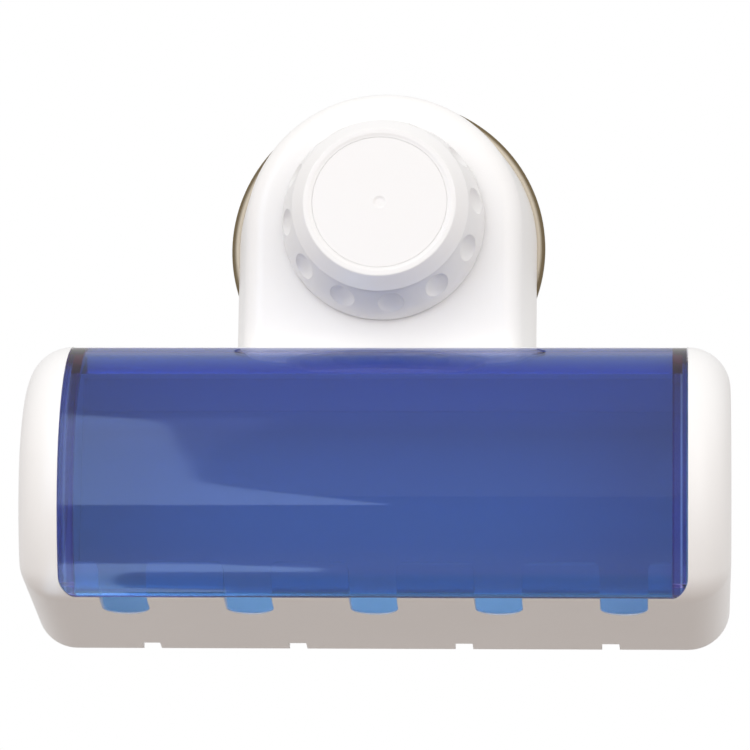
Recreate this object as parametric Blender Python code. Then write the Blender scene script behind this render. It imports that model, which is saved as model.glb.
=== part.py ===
"""Wall-mounted toothbrush holder with a flip-up lid, held by a twist-lock suction disc.

X runs to the viewer's right, Y points into the wall and Z is up. The origin is the centre of the
suction disc on the surface of the wall. Outlines are drawn as (depth, height) or (radius, depth),
where depth is the distance out from the wall, so depth is minus Y.
"""

import math

import bmesh
import bpy
from mathutils import Matrix, Vector

MM = 0.001

# Clearances
GAP = 0.3 * MM  # between pieces that rest on each other
PIVOT_GAP = 0.35 * MM  # round a pin or a stud
LID_GAP = 0.35 * MM  # round the edge of the lid

# Box of the housing, whose side outline is three arcs and a sloping floor
BOX_WIDTH = 199.8 * MM
BOX_DEPTH = 70 * MM
BOX_TOP = 38.25 * MM  # below the middle of the disc
BOX_HEIGHT = 82.05 * MM
BOX_REAR = 4.8 * MM
TOP_RADIUS = 41 * MM
LOWER_RADIUS = 60 * MM
CORNER_RADIUS = 12.5 * MM
FLOOR_SLOPE = 4.5  # degrees
WALL = 2 * MM
CHEEK_WIDTH = 11.45 * MM
CHEEK_ROUND = 12 * MM
TOP_FLANGE = 8.5 * MM  # how far the front edge of the top turns down
REAR_STRIP = 12.5 * MM  # upper strip of the bay's rear wall

# Lip and slots that the brushes hang in
LIP_HEIGHT = 9.5 * MM
SLOT_COUNT = 5
SLOT_PITCH = 35 * MM
SLOT_WIDTH = 13.3 * MM
SLOT_REACH = 14.5 * MM  # from the lid's lower edge back to the closed end
SLOT_FLARE = 2.5 * MM
DRAIN_WIDTH = 5.3 * MM
DRAIN_LENGTH = 5.6 * MM
DRAIN_PLACES = (23.9 * MM, 66 * MM)  # out from the middle, on both sides

# Arch that holds the suction mount
ARCH_RADIUS = 43.7 * MM  # at its rear edge
ARCH_DEPTH = 30 * MM
ARCH_REAR = 2.6 * MM
ARCH_DRAFT = 8.8  # degrees that the sides lean in towards the front
ARCH_ROUND = 6 * MM
RING_RADIUS = 36.5 * MM  # ring that presses on the disc
SLEEVE_RADIUS = 9 * MM
SLEEVE_LENGTH = 10 * MM

# Lid
LID_WALL = 2.2 * MM
LID_FLANGE = 2.3 * MM
LID_CORNER = 3.4 * MM
LID_EDGE_ANGLE = 69  # degrees below level on the corner arc
ROLL_RADIUS = 3.8 * MM  # rolled top edge, whose centre is the hinge
ROLL_GAP = 0.6 * MM
HINGE_ANGLE = 69  # degrees above level on the top arc
EAR_WIDTH = 4.4 * MM
EAR_DROP = 0.3 * MM  # how far the ears stay under the rolled edge
PIN_RADIUS = 1.25 * MM
PIN_REACH = 2.65 * MM  # how far a pin goes into the cheek

# Rear cover
COVER_WALL = 2 * MM
COVER_EDGE = 1.3 * MM  # wall left round the cover, so that it lies on a ledge
RIB = 1.2 * MM
SCREW_RADIUS = 1.35 * MM
SCREW_LENGTH = 12 * MM
SCREW_HEAD_RADIUS = 2.8 * MM
SCREW_HEAD = 1.8 * MM
SCREW_INSET = 13.5 * MM  # from the box's top and bottom
BOSS_RADIUS = 4.2 * MM
BOSS_LENGTH = 24 * MM
PAD_RADIUS = 6 * MM
PAD_SPREAD = 62 * MM
PAD_RAISE = 17 * MM  # above the box's bottom
PAD_SEAT = 1.3 * MM

# Suction disc and what pulls it
DISC_RADIUS = 46.3 * MM
DISC_RIM = 2.3 * MM
DISC_HOLLOW = 3.4 * MM
DISC_LAND = 7 * MM  # width of the rim that lies on the wall
NECK_RADIUS = 13.2 * MM
NECK_WALL = 2.9 * MM
HUB_RADIUS = 10.5 * MM
HUB_FLANGE = 4 * MM
HUB_HEX = 11 * MM  # across flats
STUD_RADIUS = 4 * MM
STUD_HEAD_RADIUS = 6.2 * MM
STUD_HEAD = 2.4 * MM
STUD_TRAVEL = 3 * MM

# Knob
KNOB_BASE_RADIUS = 29.3 * MM
KNOB_SHOULDER_RADIUS = 25.4 * MM
KNOB_FACE_RADIUS = 22.2 * MM
KNOB_HEIGHT = 21.4 * MM
KNOB_WALL = 2.2 * MM
KNOB_BAND = 4.1 * MM  # smooth sloping band between the face and the shoulder
KNOB_STEP = 0.3 * MM  # how far the shoulder stands over the dimpled side
KNOB_BULGE = 1.9  # slope at the top of the dimpled side as a multiple of its mean slope
KNOB_EDGE = 0.7 * MM
DIMPLE_COUNT = 12
DIMPLE_TURN = 6.6  # degrees that the first dimple lies above level
DIMPLE_FRONT = 10 * MM  # from the face to the middle of a dimple
DIMPLE_WIDTH = 7.4 * MM
DIMPLE_LENGTH = 10.2 * MM
DIMPLE_DEPTH = 1.1 * MM
CAP_RADIUS = 19 * MM
CAP_WALL = 1.5 * MM
CAP_RIM = 0.6 * MM
CAP_SUNK = 0.5 * MM
GATE_RADIUS = 2 * MM
GATE_DEPTH = 0.5 * MM
NUT_HEX = 13 * MM
HEX_TURN = 20  # degrees, so that no corner of a hexagon meets a facet of a turned bore
NUT_HEIGHT = 6.5 * MM
BOSS_WALL = 2.6 * MM
WASHER_RADIUS = 10 * MM
WASHER_HEIGHT = 1.2 * MM
STOP_RADIUS = 6 * MM
STOP_HEIGHT = 1 * MM
STOP_SCREW_RADIUS = 1.9 * MM
STOP_SCREW_LENGTH = 8 * MM
STOP_HEAD_RADIUS = 3.6 * MM
STOP_HEAD = 2.2 * MM

# Places worked out from the sizes above
OPEN_HALF = BOX_WIDTH / 2 - CHEEK_WIDTH
LID_HALF = OPEN_HALF - LID_GAP
LIP_HALF = LID_HALF - LID_FLANGE - LID_GAP
POCKET = BOX_REAR + GAP + COVER_WALL + GAP  # front of the space for the cover
PANEL_FRONT = POCKET + WALL
BOTTOM = -BOX_TOP - BOX_HEIGHT
MIDDLE = -BOX_TOP - TOP_RADIUS
TOP_CENTRE = (BOX_DEPTH - TOP_RADIUS, MIDDLE)
LOW_CENTRE = (BOX_DEPTH - LOWER_RADIUS, MIDDLE)
FACE_INNER = ARCH_DEPTH - WALL


def find_corner_centre():
    """Centre of the arc that joins the lower arc to the floor, touching both."""
    slope = math.radians(FLOOR_SLOPE)
    along = Vector((math.cos(slope), math.sin(slope)))
    inward = Vector((-math.sin(slope), math.cos(slope)))
    start = Vector((BOX_REAR, BOTTOM)) + CORNER_RADIUS * inward
    from_low = start - Vector(LOW_CENTRE)
    reach = LOWER_RADIUS - CORNER_RADIUS
    half = from_low.dot(along)
    run = math.sqrt(half * half - from_low.length_squared + reach * reach) - half
    return tuple(start + run * along)


CORNER_CENTRE = find_corner_centre()
CORNER_START = math.degrees(
    math.atan2(CORNER_CENTRE[1] - MIDDLE, CORNER_CENTRE[0] - LOW_CENTRE[0])
)
CORNER_END = FLOOR_SLOPE - 90


def on_circle(centre, radius, degrees):
    angle = math.radians(degrees)
    return (centre[0] + radius * math.cos(angle), centre[1] + radius * math.sin(angle))


HINGE = on_circle(TOP_CENTRE, TOP_RADIUS - ROLL_RADIUS, HINGE_ANGLE)
FLANGE_FRONT = HINGE[0] - ROLL_RADIUS - ROLL_GAP
LID_EDGE = on_circle(CORNER_CENTRE, CORNER_RADIUS, -LID_EDGE_ANGLE)
EDGE_GAP_ANGLE = math.degrees(LID_GAP / CORNER_RADIUS)
SLOT_END = LID_EDGE[0] - SLOT_REACH
LIP_TOP = LID_EDGE[1] + LIP_HEIGHT

KNOB_BASE = ARCH_DEPTH + 2 * GAP
KNOB_FACE = KNOB_BASE + KNOB_HEIGHT
WASHER_BASE = ARCH_DEPTH + GAP
KNOB_BEARING = WASHER_BASE + WASHER_HEIGHT + GAP
NUT_SEAT = KNOB_BEARING + 3.4 * MM
NUT_BASE = NUT_SEAT + GAP
NUT_TOP = NUT_BASE + NUT_HEIGHT
STOP_BASE = NUT_TOP + GAP
SCREW_BASE = STOP_BASE + STOP_HEIGHT + GAP
SCREW_TOP = SCREW_BASE + STOP_HEAD
CAP_FRONT = KNOB_FACE - CAP_SUNK
CAP_BACK = CAP_FRONT - CAP_WALL
KNOB_FLOOR = CAP_BACK - CAP_RIM - GAP

HUB_BASE = DISC_HOLLOW + 2.6 * MM
HUB_TOP = HUB_BASE + HUB_FLANGE
SLEEVE_END = FACE_INNER - SLEEVE_LENGTH
COLLAR_TOP = FACE_INNER - STUD_TRAVEL - 1 * MM


# Outlines


def arc(centre, radius, start, end, steps):
    """Points of an arc between two angles in degrees, both ends included."""
    return [
        on_circle(centre, radius, start + (end - start) * i / steps)
        for i in range(steps + 1)
    ]


def front_path(inset, top_angle, corner_angle):
    """The box's curved front, moved inwards by inset, from an angle on the top arc down to an
    angle on the corner arc."""
    points = arc(TOP_CENTRE, TOP_RADIUS - inset, top_angle, 0, 12)
    points += arc(LOW_CENTRE, LOWER_RADIUS - inset, 0, CORNER_START, 5)[1:]
    points += arc(CORNER_CENTRE, CORNER_RADIUS - inset, CORNER_START, corner_angle, 6)[1:]
    return points


def floor_height(depth, inset):
    slope = math.radians(FLOOR_SLOPE)
    return BOTTOM + (depth - BOX_REAR) * math.tan(slope) + inset / math.cos(slope)


def box_outline(inset, rear):
    """The box's whole side outline, moved inwards by inset, except at its open rear."""
    front = front_path(inset, 90, CORNER_END)
    return [(rear, -BOX_TOP - inset)] + front + [(rear, floor_height(rear, inset))]


def cheek_inset(x):
    """How far the rounding of an end has drawn the outline in at x."""
    most = min(CHEEK_ROUND, CORNER_RADIUS - 0.4 * MM)
    share = max(0, abs(x) - (BOX_WIDTH / 2 - CHEEK_ROUND)) / CHEEK_ROUND
    return most * (1 - math.sqrt(max(0, 1 - share * share)))


def angle_at_depth(depth, inset):
    """Angle on the top arc where it reaches a depth."""
    return math.degrees(math.acos((depth - TOP_CENTRE[0]) / (TOP_RADIUS - inset)))


def bay_outline():
    """Section of the bay: floor, open front, turned-down front edge of the top, and the upper
    strip of the rear wall."""
    rear = POCKET - 1 * MM
    ceiling = -BOX_TOP - WALL
    flange_end = -BOX_TOP - TOP_FLANGE
    front = front_path(WALL, angle_at_depth(FLANGE_FRONT, WALL), CORNER_END)
    return [
        (rear, floor_height(rear, WALL)),
        *front[::-1],
        (FLANGE_FRONT, flange_end + WALL / 2),
        (FLANGE_FRONT - WALL / 4, flange_end),
        (FLANGE_FRONT - WALL * 3 / 4, flange_end),
        (FLANGE_FRONT - WALL, flange_end + WALL / 2),
        (FLANGE_FRONT - WALL, ceiling),
        (PANEL_FRONT, ceiling),
        (PANEL_FRONT, -BOX_TOP - REAR_STRIP),
        (rear, -BOX_TOP - REAR_STRIP),
    ]


def lip_outline():
    """Section of the lip, which stands on the floor just behind the lid."""
    outer = LID_WALL + LID_GAP
    inner = outer + WALL
    buried = WALL / 2
    ramp = SLOT_END + 2 * MM
    low = -LID_EDGE_ANGLE - EDGE_GAP_ANGLE
    points = [(ramp, floor_height(ramp, buried))]
    rising = front_path(inner, 0, CORNER_END)[::-1]
    points += [p for p in rising if p[1] < LIP_TOP - 1 * MM]
    points.append((height_to_depth(LIP_TOP, inner), LIP_TOP))
    points.append((height_to_depth(LIP_TOP, outer), LIP_TOP))
    points += [p for p in front_path(outer, 0, low) if p[1] < LIP_TOP - 1 * MM]
    points += arc(CORNER_CENTRE, CORNER_RADIUS - buried, low - 6, CORNER_END, 3)
    return points


def height_to_depth(height, inset):
    """Depth of the lower arc at a height."""
    radius = LOWER_RADIUS - inset
    return LOW_CENTRE[0] + math.sqrt(radius**2 - (height - MIDDLE) ** 2)


def lid_path(inset):
    """The lid's section from the end of its rolled top edge to its lower edge."""
    roll = arc(HINGE, ROLL_RADIUS - inset, 180, HINGE_ANGLE, 8)
    return roll[:-1] + front_path(inset, HINGE_ANGLE, -LID_EDGE_ANGLE)


def rounded_outline(half_width, bottom, top, low_radius, top_radius=0.0):
    """Rectangle seen from the front, with rounded lower and, where asked, upper corners."""
    points = []
    corners = (
        (half_width, bottom, low_radius, -90),
        (half_width, top, top_radius, 0),
        (-half_width, top, top_radius, 90),
        (-half_width, bottom, low_radius, 180),
    )
    for x, z, radius, start in corners:
        if radius <= 0:
            points.append((x, z))
            continue
        centre = (x - math.copysign(radius, x), z + (radius if z == bottom else -radius))
        points += arc(centre, radius, start, start + 90, 5)
    return points


def arch_outline(inset, bottom):
    radius = ARCH_RADIUS - inset
    return arc((0, 0), radius, 0, 180, 40) + [(-radius, bottom), (radius, bottom)]


def hexagon(across_flats, centre=(0, 0)):
    return arc(centre, across_flats / math.sqrt(3), HEX_TURN, HEX_TURN + 300, 5)


# Solids


def add_object(name, bm, material=None, smooth=35):
    bmesh.ops.remove_doubles(bm, verts=bm.verts, dist=0.0001 * MM)
    bmesh.ops.recalc_face_normals(bm, faces=bm.faces)
    mesh = bpy.data.meshes.new(name)
    bm.to_mesh(mesh)
    bm.free()
    mesh.shade_smooth()
    mesh.set_sharp_from_angle(angle=math.radians(smooth))
    obj = bpy.data.objects.new(name, mesh)
    bpy.context.scene.collection.objects.link(obj)
    if material:
        mesh.materials.append(material)
    return obj


def along_x(u, v, w):
    return Vector((w, -u, v))


def along_y(u, v, w):
    return Vector((u, -w, v))


def along_z(u, v, w):
    return Vector((u, -v, w))


def add_prism(bm, outline, place, low, high):
    """Extrudes a flat outline from low to high along the axis that place stands for."""
    bottom = bm.faces.new([bm.verts.new(place(u, v, low)) for u, v in outline])
    moved = bmesh.ops.extrude_face_region(bm, geom=[bottom])["geom"]
    shift = place(0, 0, high) - place(0, 0, low)
    verts = [g for g in moved if isinstance(g, bmesh.types.BMVert)]
    bmesh.ops.translate(bm, verts=verts, vec=shift)


def add_loft(bm, rings):
    """Skins a row of rings that have the same number of points, and closes both ends."""
    layers = [[bm.verts.new(p) for p in ring] for ring in rings]
    for a, b in zip(layers, layers[1:]):
        for i in range(len(a)):
            j = (i + 1) % len(a)
            bm.faces.new((a[i], a[j], b[j], b[i]))
    bm.faces.new(layers[0])
    bm.faces.new(layers[-1][::-1])


def add_turned(bm, profile, steps, centre=(0, 0), start=0):
    """Spins a closed (radius, depth) profile about the line along Y through centre."""
    edges = []
    x, z = math.cos(math.radians(start)), math.sin(math.radians(start))
    verts = [bm.verts.new((r * x + centre[0], -d, r * z + centre[1])) for r, d in profile]
    for i, vert in enumerate(verts):
        edges.append(bm.edges.new((vert, verts[(i + 1) % len(verts)])))
    bmesh.ops.spin(
        bm,
        geom=verts + edges,
        cent=(centre[0], 0, centre[1]),
        axis=(0, 1, 0),
        angle=2 * math.pi,
        steps=steps,
        use_merge=True,
    )
    loose = [e for e in bm.edges if not e.link_faces]
    bmesh.ops.delete(bm, geom=loose, context="EDGES")


def prism(name, outline, place, low, high, material=None):
    bm = bmesh.new()
    add_prism(bm, outline, place, low, high)
    return add_object(name, bm, material)


def turned(name, profile, steps, material=None, centre=(0, 0)):
    bm = bmesh.new()
    add_turned(bm, profile, steps, centre)
    return add_object(name, bm, material)


def tube_profile(inner, outer, low, high):
    return [(inner, low), (outer, low), (outer, high), (inner, high)]


def combine(target, tool, operation):
    """Adds a Boolean whose tool stays hidden as a guide."""
    modifier = target.modifiers.new(tool.name, "BOOLEAN")
    modifier.operation = operation
    modifier.object = tool
    tool.hide_render = True
    tool.display_type = "WIRE"


def put_origin(obj, point):
    """Moves an object's origin to a point without moving its shape."""
    obj.data.transform(Matrix.Translation(-Vector(point)))
    obj.location = point


def both_sides():
    return (("left", -1), ("right", 1))


def plastic(name, colour, roughness, metallic=0.0, alpha=1.0):
    material = bpy.data.materials.new(name)
    material.use_nodes = True
    shader = material.node_tree.nodes["Principled BSDF"]
    shader.inputs["Base Color"].default_value = (*colour, 1)
    shader.inputs["Roughness"].default_value = roughness
    shader.inputs["Metallic"].default_value = metallic
    shader.inputs["Alpha"].default_value = alpha
    material.diffuse_color = (*colour, alpha)
    return material


# Housing


def make_box_blank(material):
    """The box as a solid, whose ends are rounded by drawing its outline in."""
    bm = bmesh.new()
    flat_half = BOX_WIDTH / 2 - CHEEK_ROUND
    steps = 6
    reach = [CHEEK_ROUND * math.sin(math.pi / 2 * i / steps) for i in range(steps + 1)]
    places = [flat_half + r for r in reach]
    rings = []
    for x in [-p for p in reversed(places)] + places:
        outline = box_outline(cheek_inset(x), BOX_REAR)
        rings.append([along_x(u, v, x) for u, v in outline])
    add_loft(bm, rings)
    return add_object("housing", bm, material)


def make_arch(name, inset, rear, front, bottom):
    """Arch as a solid whose sides lean in and whose front edge is rounded all along."""
    bm = bmesh.new()
    radius = ARCH_ROUND - inset
    draft = math.radians(ARCH_DRAFT)
    side_end = front - radius * (1 - math.sin(draft))
    steps = 6
    layers = [(rear, (rear - ARCH_REAR) * math.tan(draft))]
    for i in range(steps + 1):
        turn = draft + (math.pi / 2 - draft) * i / steps
        drawn_in = (side_end - ARCH_REAR) * math.tan(draft)
        drawn_in += radius * (math.cos(draft) - math.cos(turn))
        layers.append((front - radius * (1 - math.sin(turn)), drawn_in))
    rings = []
    for depth, drawn_in in layers:
        outline = arch_outline(inset + drawn_in, bottom)
        rings.append([along_y(u, v, depth) for u, v in outline])
    add_loft(bm, rings)
    return add_object(name, bm)


def make_cheek_hollows():
    bm = bmesh.new()
    inner = OPEN_HALF + WALL
    outer = BOX_WIDTH / 2 - WALL
    steps = 5
    for side in (-1, 1):
        rings = []
        for i in range(steps + 1):
            x = inner + (outer - inner) * math.sin(math.pi / 2 * i / steps)
            outline = box_outline(cheek_inset(x) + WALL, POCKET - 1 * MM)
            rings.append([along_x(u, v, side * x) for u, v in outline])
        add_loft(bm, rings)
    return add_object("cheek_hollows", bm)


def screw_places():
    """The cover's four screws, in the middle of the cheeks' hollows."""
    across = (OPEN_HALF + WALL + BOX_WIDTH / 2 - WALL) / 2
    heights = (-BOX_TOP - SCREW_INSET, BOTTOM + SCREW_INSET)
    return [(side * across, height) for height in heights for side in (-1, 1)]


def slot_places():
    return [(i - (SLOT_COUNT - 1) / 2) * SLOT_PITCH for i in range(SLOT_COUNT)]


def make_floor_slots():
    """Openings in the floor, with a round closed end."""
    bm = bmesh.new()
    radius = SLOT_WIDTH / 2
    far = BOX_DEPTH
    for x in slot_places():
        end = arc((x, SLOT_END + radius), radius, 180, 360, 10)
        add_prism(
            bm,
            end + [(x + radius, far), (x - radius, far)],
            along_z,
            BOTTOM - 5 * MM,
            LIP_TOP - LIP_HEIGHT / 2,
        )
    return add_object("floor_slots", bm)


def make_lip_gaps():
    """Gaps in the lip, each flared at its mouth by the rounded corners beside it."""
    bm = bmesh.new()
    half = SLOT_WIDTH / 2
    flare = min(SLOT_FLARE, LIP_HEIGHT / 3)
    over = LIP_TOP + 5 * MM
    back = SLOT_END + half + 1 * MM
    for x in slot_places():
        right = arc((x + half + flare, LIP_TOP - flare), flare, 180, 90, 4)
        left = [(2 * x - u, v) for u, v in reversed(right)]
        low = LIP_TOP - LIP_HEIGHT
        outline = [(x - half, low), (x + half, low)] + right
        outline += [(right[-1][0], over), (left[0][0], over)] + left
        add_prism(bm, outline, along_y, back, BOX_DEPTH)
    return add_object("lip_gaps", bm)


def make_drain_notches():
    bm = bmesh.new()
    half = DRAIN_WIDTH / 2
    for place in DRAIN_PLACES:
        for x in (-place, place):
            outline = [
                (x - half, BOTTOM - 2 * MM),
                (x + half, BOTTOM - 2 * MM),
                (x + half - WALL / 4, BOTTOM + WALL + 0.2 * MM),
                (x - half, BOTTOM + WALL + 0.2 * MM),
            ]
            add_prism(bm, outline, along_y, BOX_REAR - 2 * MM, BOX_REAR + DRAIN_LENGTH)
    return add_object("drain_notches", bm)


def make_lid_space():
    """Room for the lid in the housing's curved front, with round lower corners."""
    bm = bmesh.new()
    inset = LID_WALL + LID_GAP
    outside = -3 * MM
    end = -LID_EDGE_ANGLE - EDGE_GAP_ANGLE
    inner = front_path(inset, angle_at_depth(FLANGE_FRONT, inset), end)
    outer = front_path(outside, angle_at_depth(FLANGE_FRONT, outside), end)
    add_prism(bm, inner + outer[::-1], along_x, -OPEN_HALF, OPEN_HALF)
    space = add_object("lid_space", bm)
    low = on_circle(CORNER_CENTRE, CORNER_RADIUS, end)[1]
    frame = rounded_outline(OPEN_HALF + 1 * MM, low, 0.0, LID_CORNER + 1 * MM)
    window = prism("lid_window", frame, along_y, HINGE[0] / 2, BOX_DEPTH + 5 * MM)
    combine(space, window, "INTERSECT")
    return space


def cover_outline(clearance):
    """The rear opening of the box, less a clearance."""
    inset = COVER_EDGE + clearance
    radius = max(CHEEK_ROUND - inset, 1 * MM)
    return rounded_outline(
        BOX_WIDTH / 2 - inset, BOTTOM + inset, -BOX_TOP - inset, radius, radius
    )


def make_housing(material):
    housing = make_box_blank(material)
    arch = make_arch("arch_blank", 0, ARCH_REAR, ARCH_DEPTH, -BOX_TOP - WALL / 2)
    combine(housing, arch, "UNION")
    hollow_end = -BOX_TOP + WALL / 4
    hollow = make_arch("arch_hollow", WALL, ARCH_REAR - 1 * MM, FACE_INNER, hollow_end)
    combine(housing, hollow, "DIFFERENCE")

    bm = bmesh.new()
    into_face = ARCH_DEPTH - WALL / 2
    ring = tube_profile(RING_RADIUS - WALL, RING_RADIUS, ARCH_REAR, into_face)
    add_turned(bm, ring, 50, start=2)
    add_turned(bm, tube_profile(0, SLEEVE_RADIUS, SLEEVE_END, into_face), 24)
    combine(housing, add_object("ring_and_sleeve", bm), "UNION")

    bay = prism("bay", bay_outline(), along_x, -OPEN_HALF, OPEN_HALF)
    combine(housing, bay, "DIFFERENCE")
    combine(housing, make_lid_space(), "DIFFERENCE")
    lip = prism("lip", lip_outline(), along_x, -LIP_HALF, LIP_HALF)
    combine(housing, lip, "UNION")
    combine(housing, make_cheek_hollows(), "DIFFERENCE")
    pocket = prism("cover_pocket", cover_outline(0), along_y, BOX_REAR - 2 * MM, POCKET)
    combine(housing, pocket, "DIFFERENCE")

    bm = bmesh.new()
    for x, z in screw_places():
        outline = arc((x, z), BOSS_RADIUS, 0, 345, 23)
        add_prism(bm, outline, along_y, POCKET, POCKET + BOSS_LENGTH)
    for side in (-1, 1):
        low = side * (OPEN_HALF + WALL / 2)
        high = side * (OPEN_HALF + PIN_REACH + 1.3 * MM)
        outline = arc(HINGE, ROLL_RADIUS - 1.2 * MM, 0, 345, 23)
        add_prism(bm, outline, along_x, *sorted((low, high)))
    combine(housing, add_object("bosses", bm), "UNION")

    bm = bmesh.new()
    for x, z in screw_places():
        outline = arc((x, z), SCREW_RADIUS + GAP, 0, 330, 11)
        add_prism(bm, outline, along_y, POCKET - 1 * MM, POCKET + SCREW_LENGTH)
    for side in (-1, 1):
        low = side * (OPEN_HALF - 1 * MM)
        high = side * (OPEN_HALF + PIN_REACH + GAP)
        outline = arc(HINGE, PIN_RADIUS + PIVOT_GAP, 0, 345, 23)
        add_prism(bm, outline, along_x, *sorted((low, high)))
    sleeve_bore = HUB_HEX + 2 * PIVOT_GAP
    add_prism(bm, hexagon(sleeve_bore), along_y, SLEEVE_END - 1 * MM, FACE_INNER)
    combine(housing, add_object("bores", bm), "DIFFERENCE")
    front_hole = [(0, SLEEVE_END), (STUD_RADIUS + 1 * MM, SLEEVE_END)]
    front_hole += [(r, ARCH_DEPTH + 1 * MM) for r, d in reversed(front_hole)]
    combine(housing, turned("front_hole", front_hole, 24), "DIFFERENCE")

    combine(housing, make_floor_slots(), "DIFFERENCE")
    combine(housing, make_lip_gaps(), "DIFFERENCE")
    combine(housing, make_drain_notches(), "DIFFERENCE")
    return housing


# Rear cover, its screws and the pads that meet the wall


def make_rear_cover(material):
    rear = BOX_REAR + GAP
    cover = prism("rear_cover", cover_outline(GAP), along_y, rear, rear + COVER_WALL, material)
    half = OPEN_HALF - GAP
    top = -BOX_TOP - REAR_STRIP - GAP
    low = floor_height(PANEL_FRONT, WALL) + GAP
    panel = prism(
        "cover_panel",
        rounded_outline(half, low, top, 0),
        along_y,
        rear + COVER_WALL / 2,
        PANEL_FRONT,
    )
    combine(cover, panel, "UNION")
    skin = PANEL_FRONT - COVER_WALL
    recess = rounded_outline(half - COVER_WALL, low + COVER_WALL, top - COVER_WALL, 0)
    hollow = prism("cover_recess", recess, along_y, rear - 1 * MM, skin)
    combine(cover, hollow, "DIFFERENCE")

    bm = bmesh.new()
    count = 6
    for i in range(count):
        x = (i - (count - 1) / 2) * SLOT_PITCH * 0.8
        rib = [(x - RIB / 2, low + 1 * MM), (x + RIB / 2, low + 1 * MM)]
        rib += [(x + RIB / 2, top - 1 * MM), (x - RIB / 2, top - 1 * MM)]
        add_prism(bm, rib, along_y, rear + 0.2 * MM, skin + COVER_WALL / 2)
    combine(cover, add_object("cover_ribs", bm), "UNION")

    bm = bmesh.new()
    seat_radius = PAD_RADIUS + GAP + WALL * 0.75
    for x, z in pad_places():
        outline = arc((x, z), seat_radius, 0, 345, 23)
        add_prism(bm, outline, along_y, pad_back() - PAD_SEAT, skin + COVER_WALL / 2)
    combine(cover, add_object("pad_seats", bm), "UNION")

    bm = bmesh.new()
    for x, z in pad_places():
        outline = arc((x, z), PAD_RADIUS + GAP, 0, 345, 23)
        add_prism(bm, outline, along_y, 0, pad_back() + GAP)
    for x, z in screw_places():
        outline = arc((x, z), SCREW_RADIUS + GAP, 0, 330, 11)
        add_prism(bm, outline, along_y, 0, POCKET + 1 * MM)
    combine(cover, add_object("cover_holes", bm), "DIFFERENCE")
    return cover


def pad_places():
    return [(side * PAD_SPREAD, BOTTOM + PAD_RAISE) for side in (-1, 1)]


def pad_back():
    """Depth of the pads' inner face."""
    return BOX_REAR - GAP


def make_cover_screws(material):
    head_back = BOX_REAR
    for number, (x, z) in enumerate(screw_places(), 1):
        profile = [
            (0, head_back - SCREW_HEAD),
            (SCREW_HEAD_RADIUS * 0.7, head_back - SCREW_HEAD),
            (SCREW_HEAD_RADIUS, head_back - SCREW_HEAD * 0.5),
            (SCREW_HEAD_RADIUS, head_back),
            (SCREW_RADIUS, head_back),
            (SCREW_RADIUS, head_back + SCREW_LENGTH - SCREW_RADIUS),
            (0, head_back + SCREW_LENGTH),
        ]
        screw = turned(f"cover_screw_{number}", profile, 12, material, (x, z))
        put_origin(screw, (x, -head_back, z))


def make_wall_pads(material):
    for (name, side), (x, z) in zip(both_sides(), pad_places()):
        edge = 0.6 * MM
        profile = [
            (0, 0),
            (PAD_RADIUS - edge, 0),
            (PAD_RADIUS, edge),
            (PAD_RADIUS, pad_back()),
            (0, pad_back()),
        ]
        pad = turned(f"wall_pad_{name}", profile, 24, material, (x, z))
        put_origin(pad, (x, 0, z))


# Lid and its pins


def make_lid(material):
    shell = lid_path(0) + lid_path(LID_WALL)[::-1]
    lid = prism("lid", shell, along_x, -LID_HALF, LID_HALF, material)
    bm = bmesh.new()
    low = LID_EDGE[1] + LIP_HEIGHT / 2
    flange = [p for p in lid_path(LID_WALL / 2) if p[1] > low]
    for side in (-1, 1):
        inner = side * (LID_HALF - LID_FLANGE)
        add_prism(bm, flange, along_x, *sorted((inner, side * LID_HALF)))
    combine(lid, add_object("lid_flanges", bm), "UNION")
    bm = bmesh.new()
    for side in (-1, 1):
        inner = side * (LID_HALF - EAR_WIDTH)
        ear = arc(HINGE, ROLL_RADIUS - EAR_DROP, HINGE_ANGLE, HINGE_ANGLE - 345, 23)
        add_prism(bm, ear, along_x, *sorted((inner, side * LID_HALF)))
    combine(lid, add_object("lid_ears", bm), "UNION")
    frame = rounded_outline(LID_HALF + 0.5 * MM, LID_EDGE[1] - 0.1 * MM, 0.0, LID_CORNER)
    window = prism("lid_outline", frame, along_y, HINGE[0] / 2, BOX_DEPTH + 5 * MM)
    combine(lid, window, "INTERSECT")
    bm = bmesh.new()
    for side in (-1, 1):
        inner = side * (LID_HALF - EAR_WIDTH * 0.8)
        bore = arc(HINGE, PIN_RADIUS + PIVOT_GAP, 0, 345, 23)
        add_prism(bm, bore, along_x, *sorted((inner, side * (LID_HALF + 1 * MM))))
    combine(lid, add_object("lid_bores", bm), "DIFFERENCE")
    put_origin(lid, along_x(*HINGE, 0))
    return lid


def make_hinge_pins(material):
    for name, side in both_sides():
        inner = side * (LID_HALF - EAR_WIDTH * 0.8 + GAP)
        outer = side * (OPEN_HALF + PIN_REACH)
        outline = arc(HINGE, PIN_RADIUS, 0, 345, 23)
        ends = sorted((inner, outer))
        pin = prism(f"hinge_pin_{name}", outline, along_x, *ends, material)
        put_origin(pin, along_x(*HINGE, 0))


# Knob and the pieces that turn with it


def knob_radius(depth):
    """Outside of the knob's dimpled side, which bulges on its way from the shoulder to the base."""
    step = KNOB_FACE - KNOB_BAND
    top = KNOB_SHOULDER_RADIUS - KNOB_STEP
    share = (step - depth) / (step - KNOB_BASE)
    bend = KNOB_BULGE * share + (1 - KNOB_BULGE) * share**2
    return top + (KNOB_BASE_RADIUS - top) * bend


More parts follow.
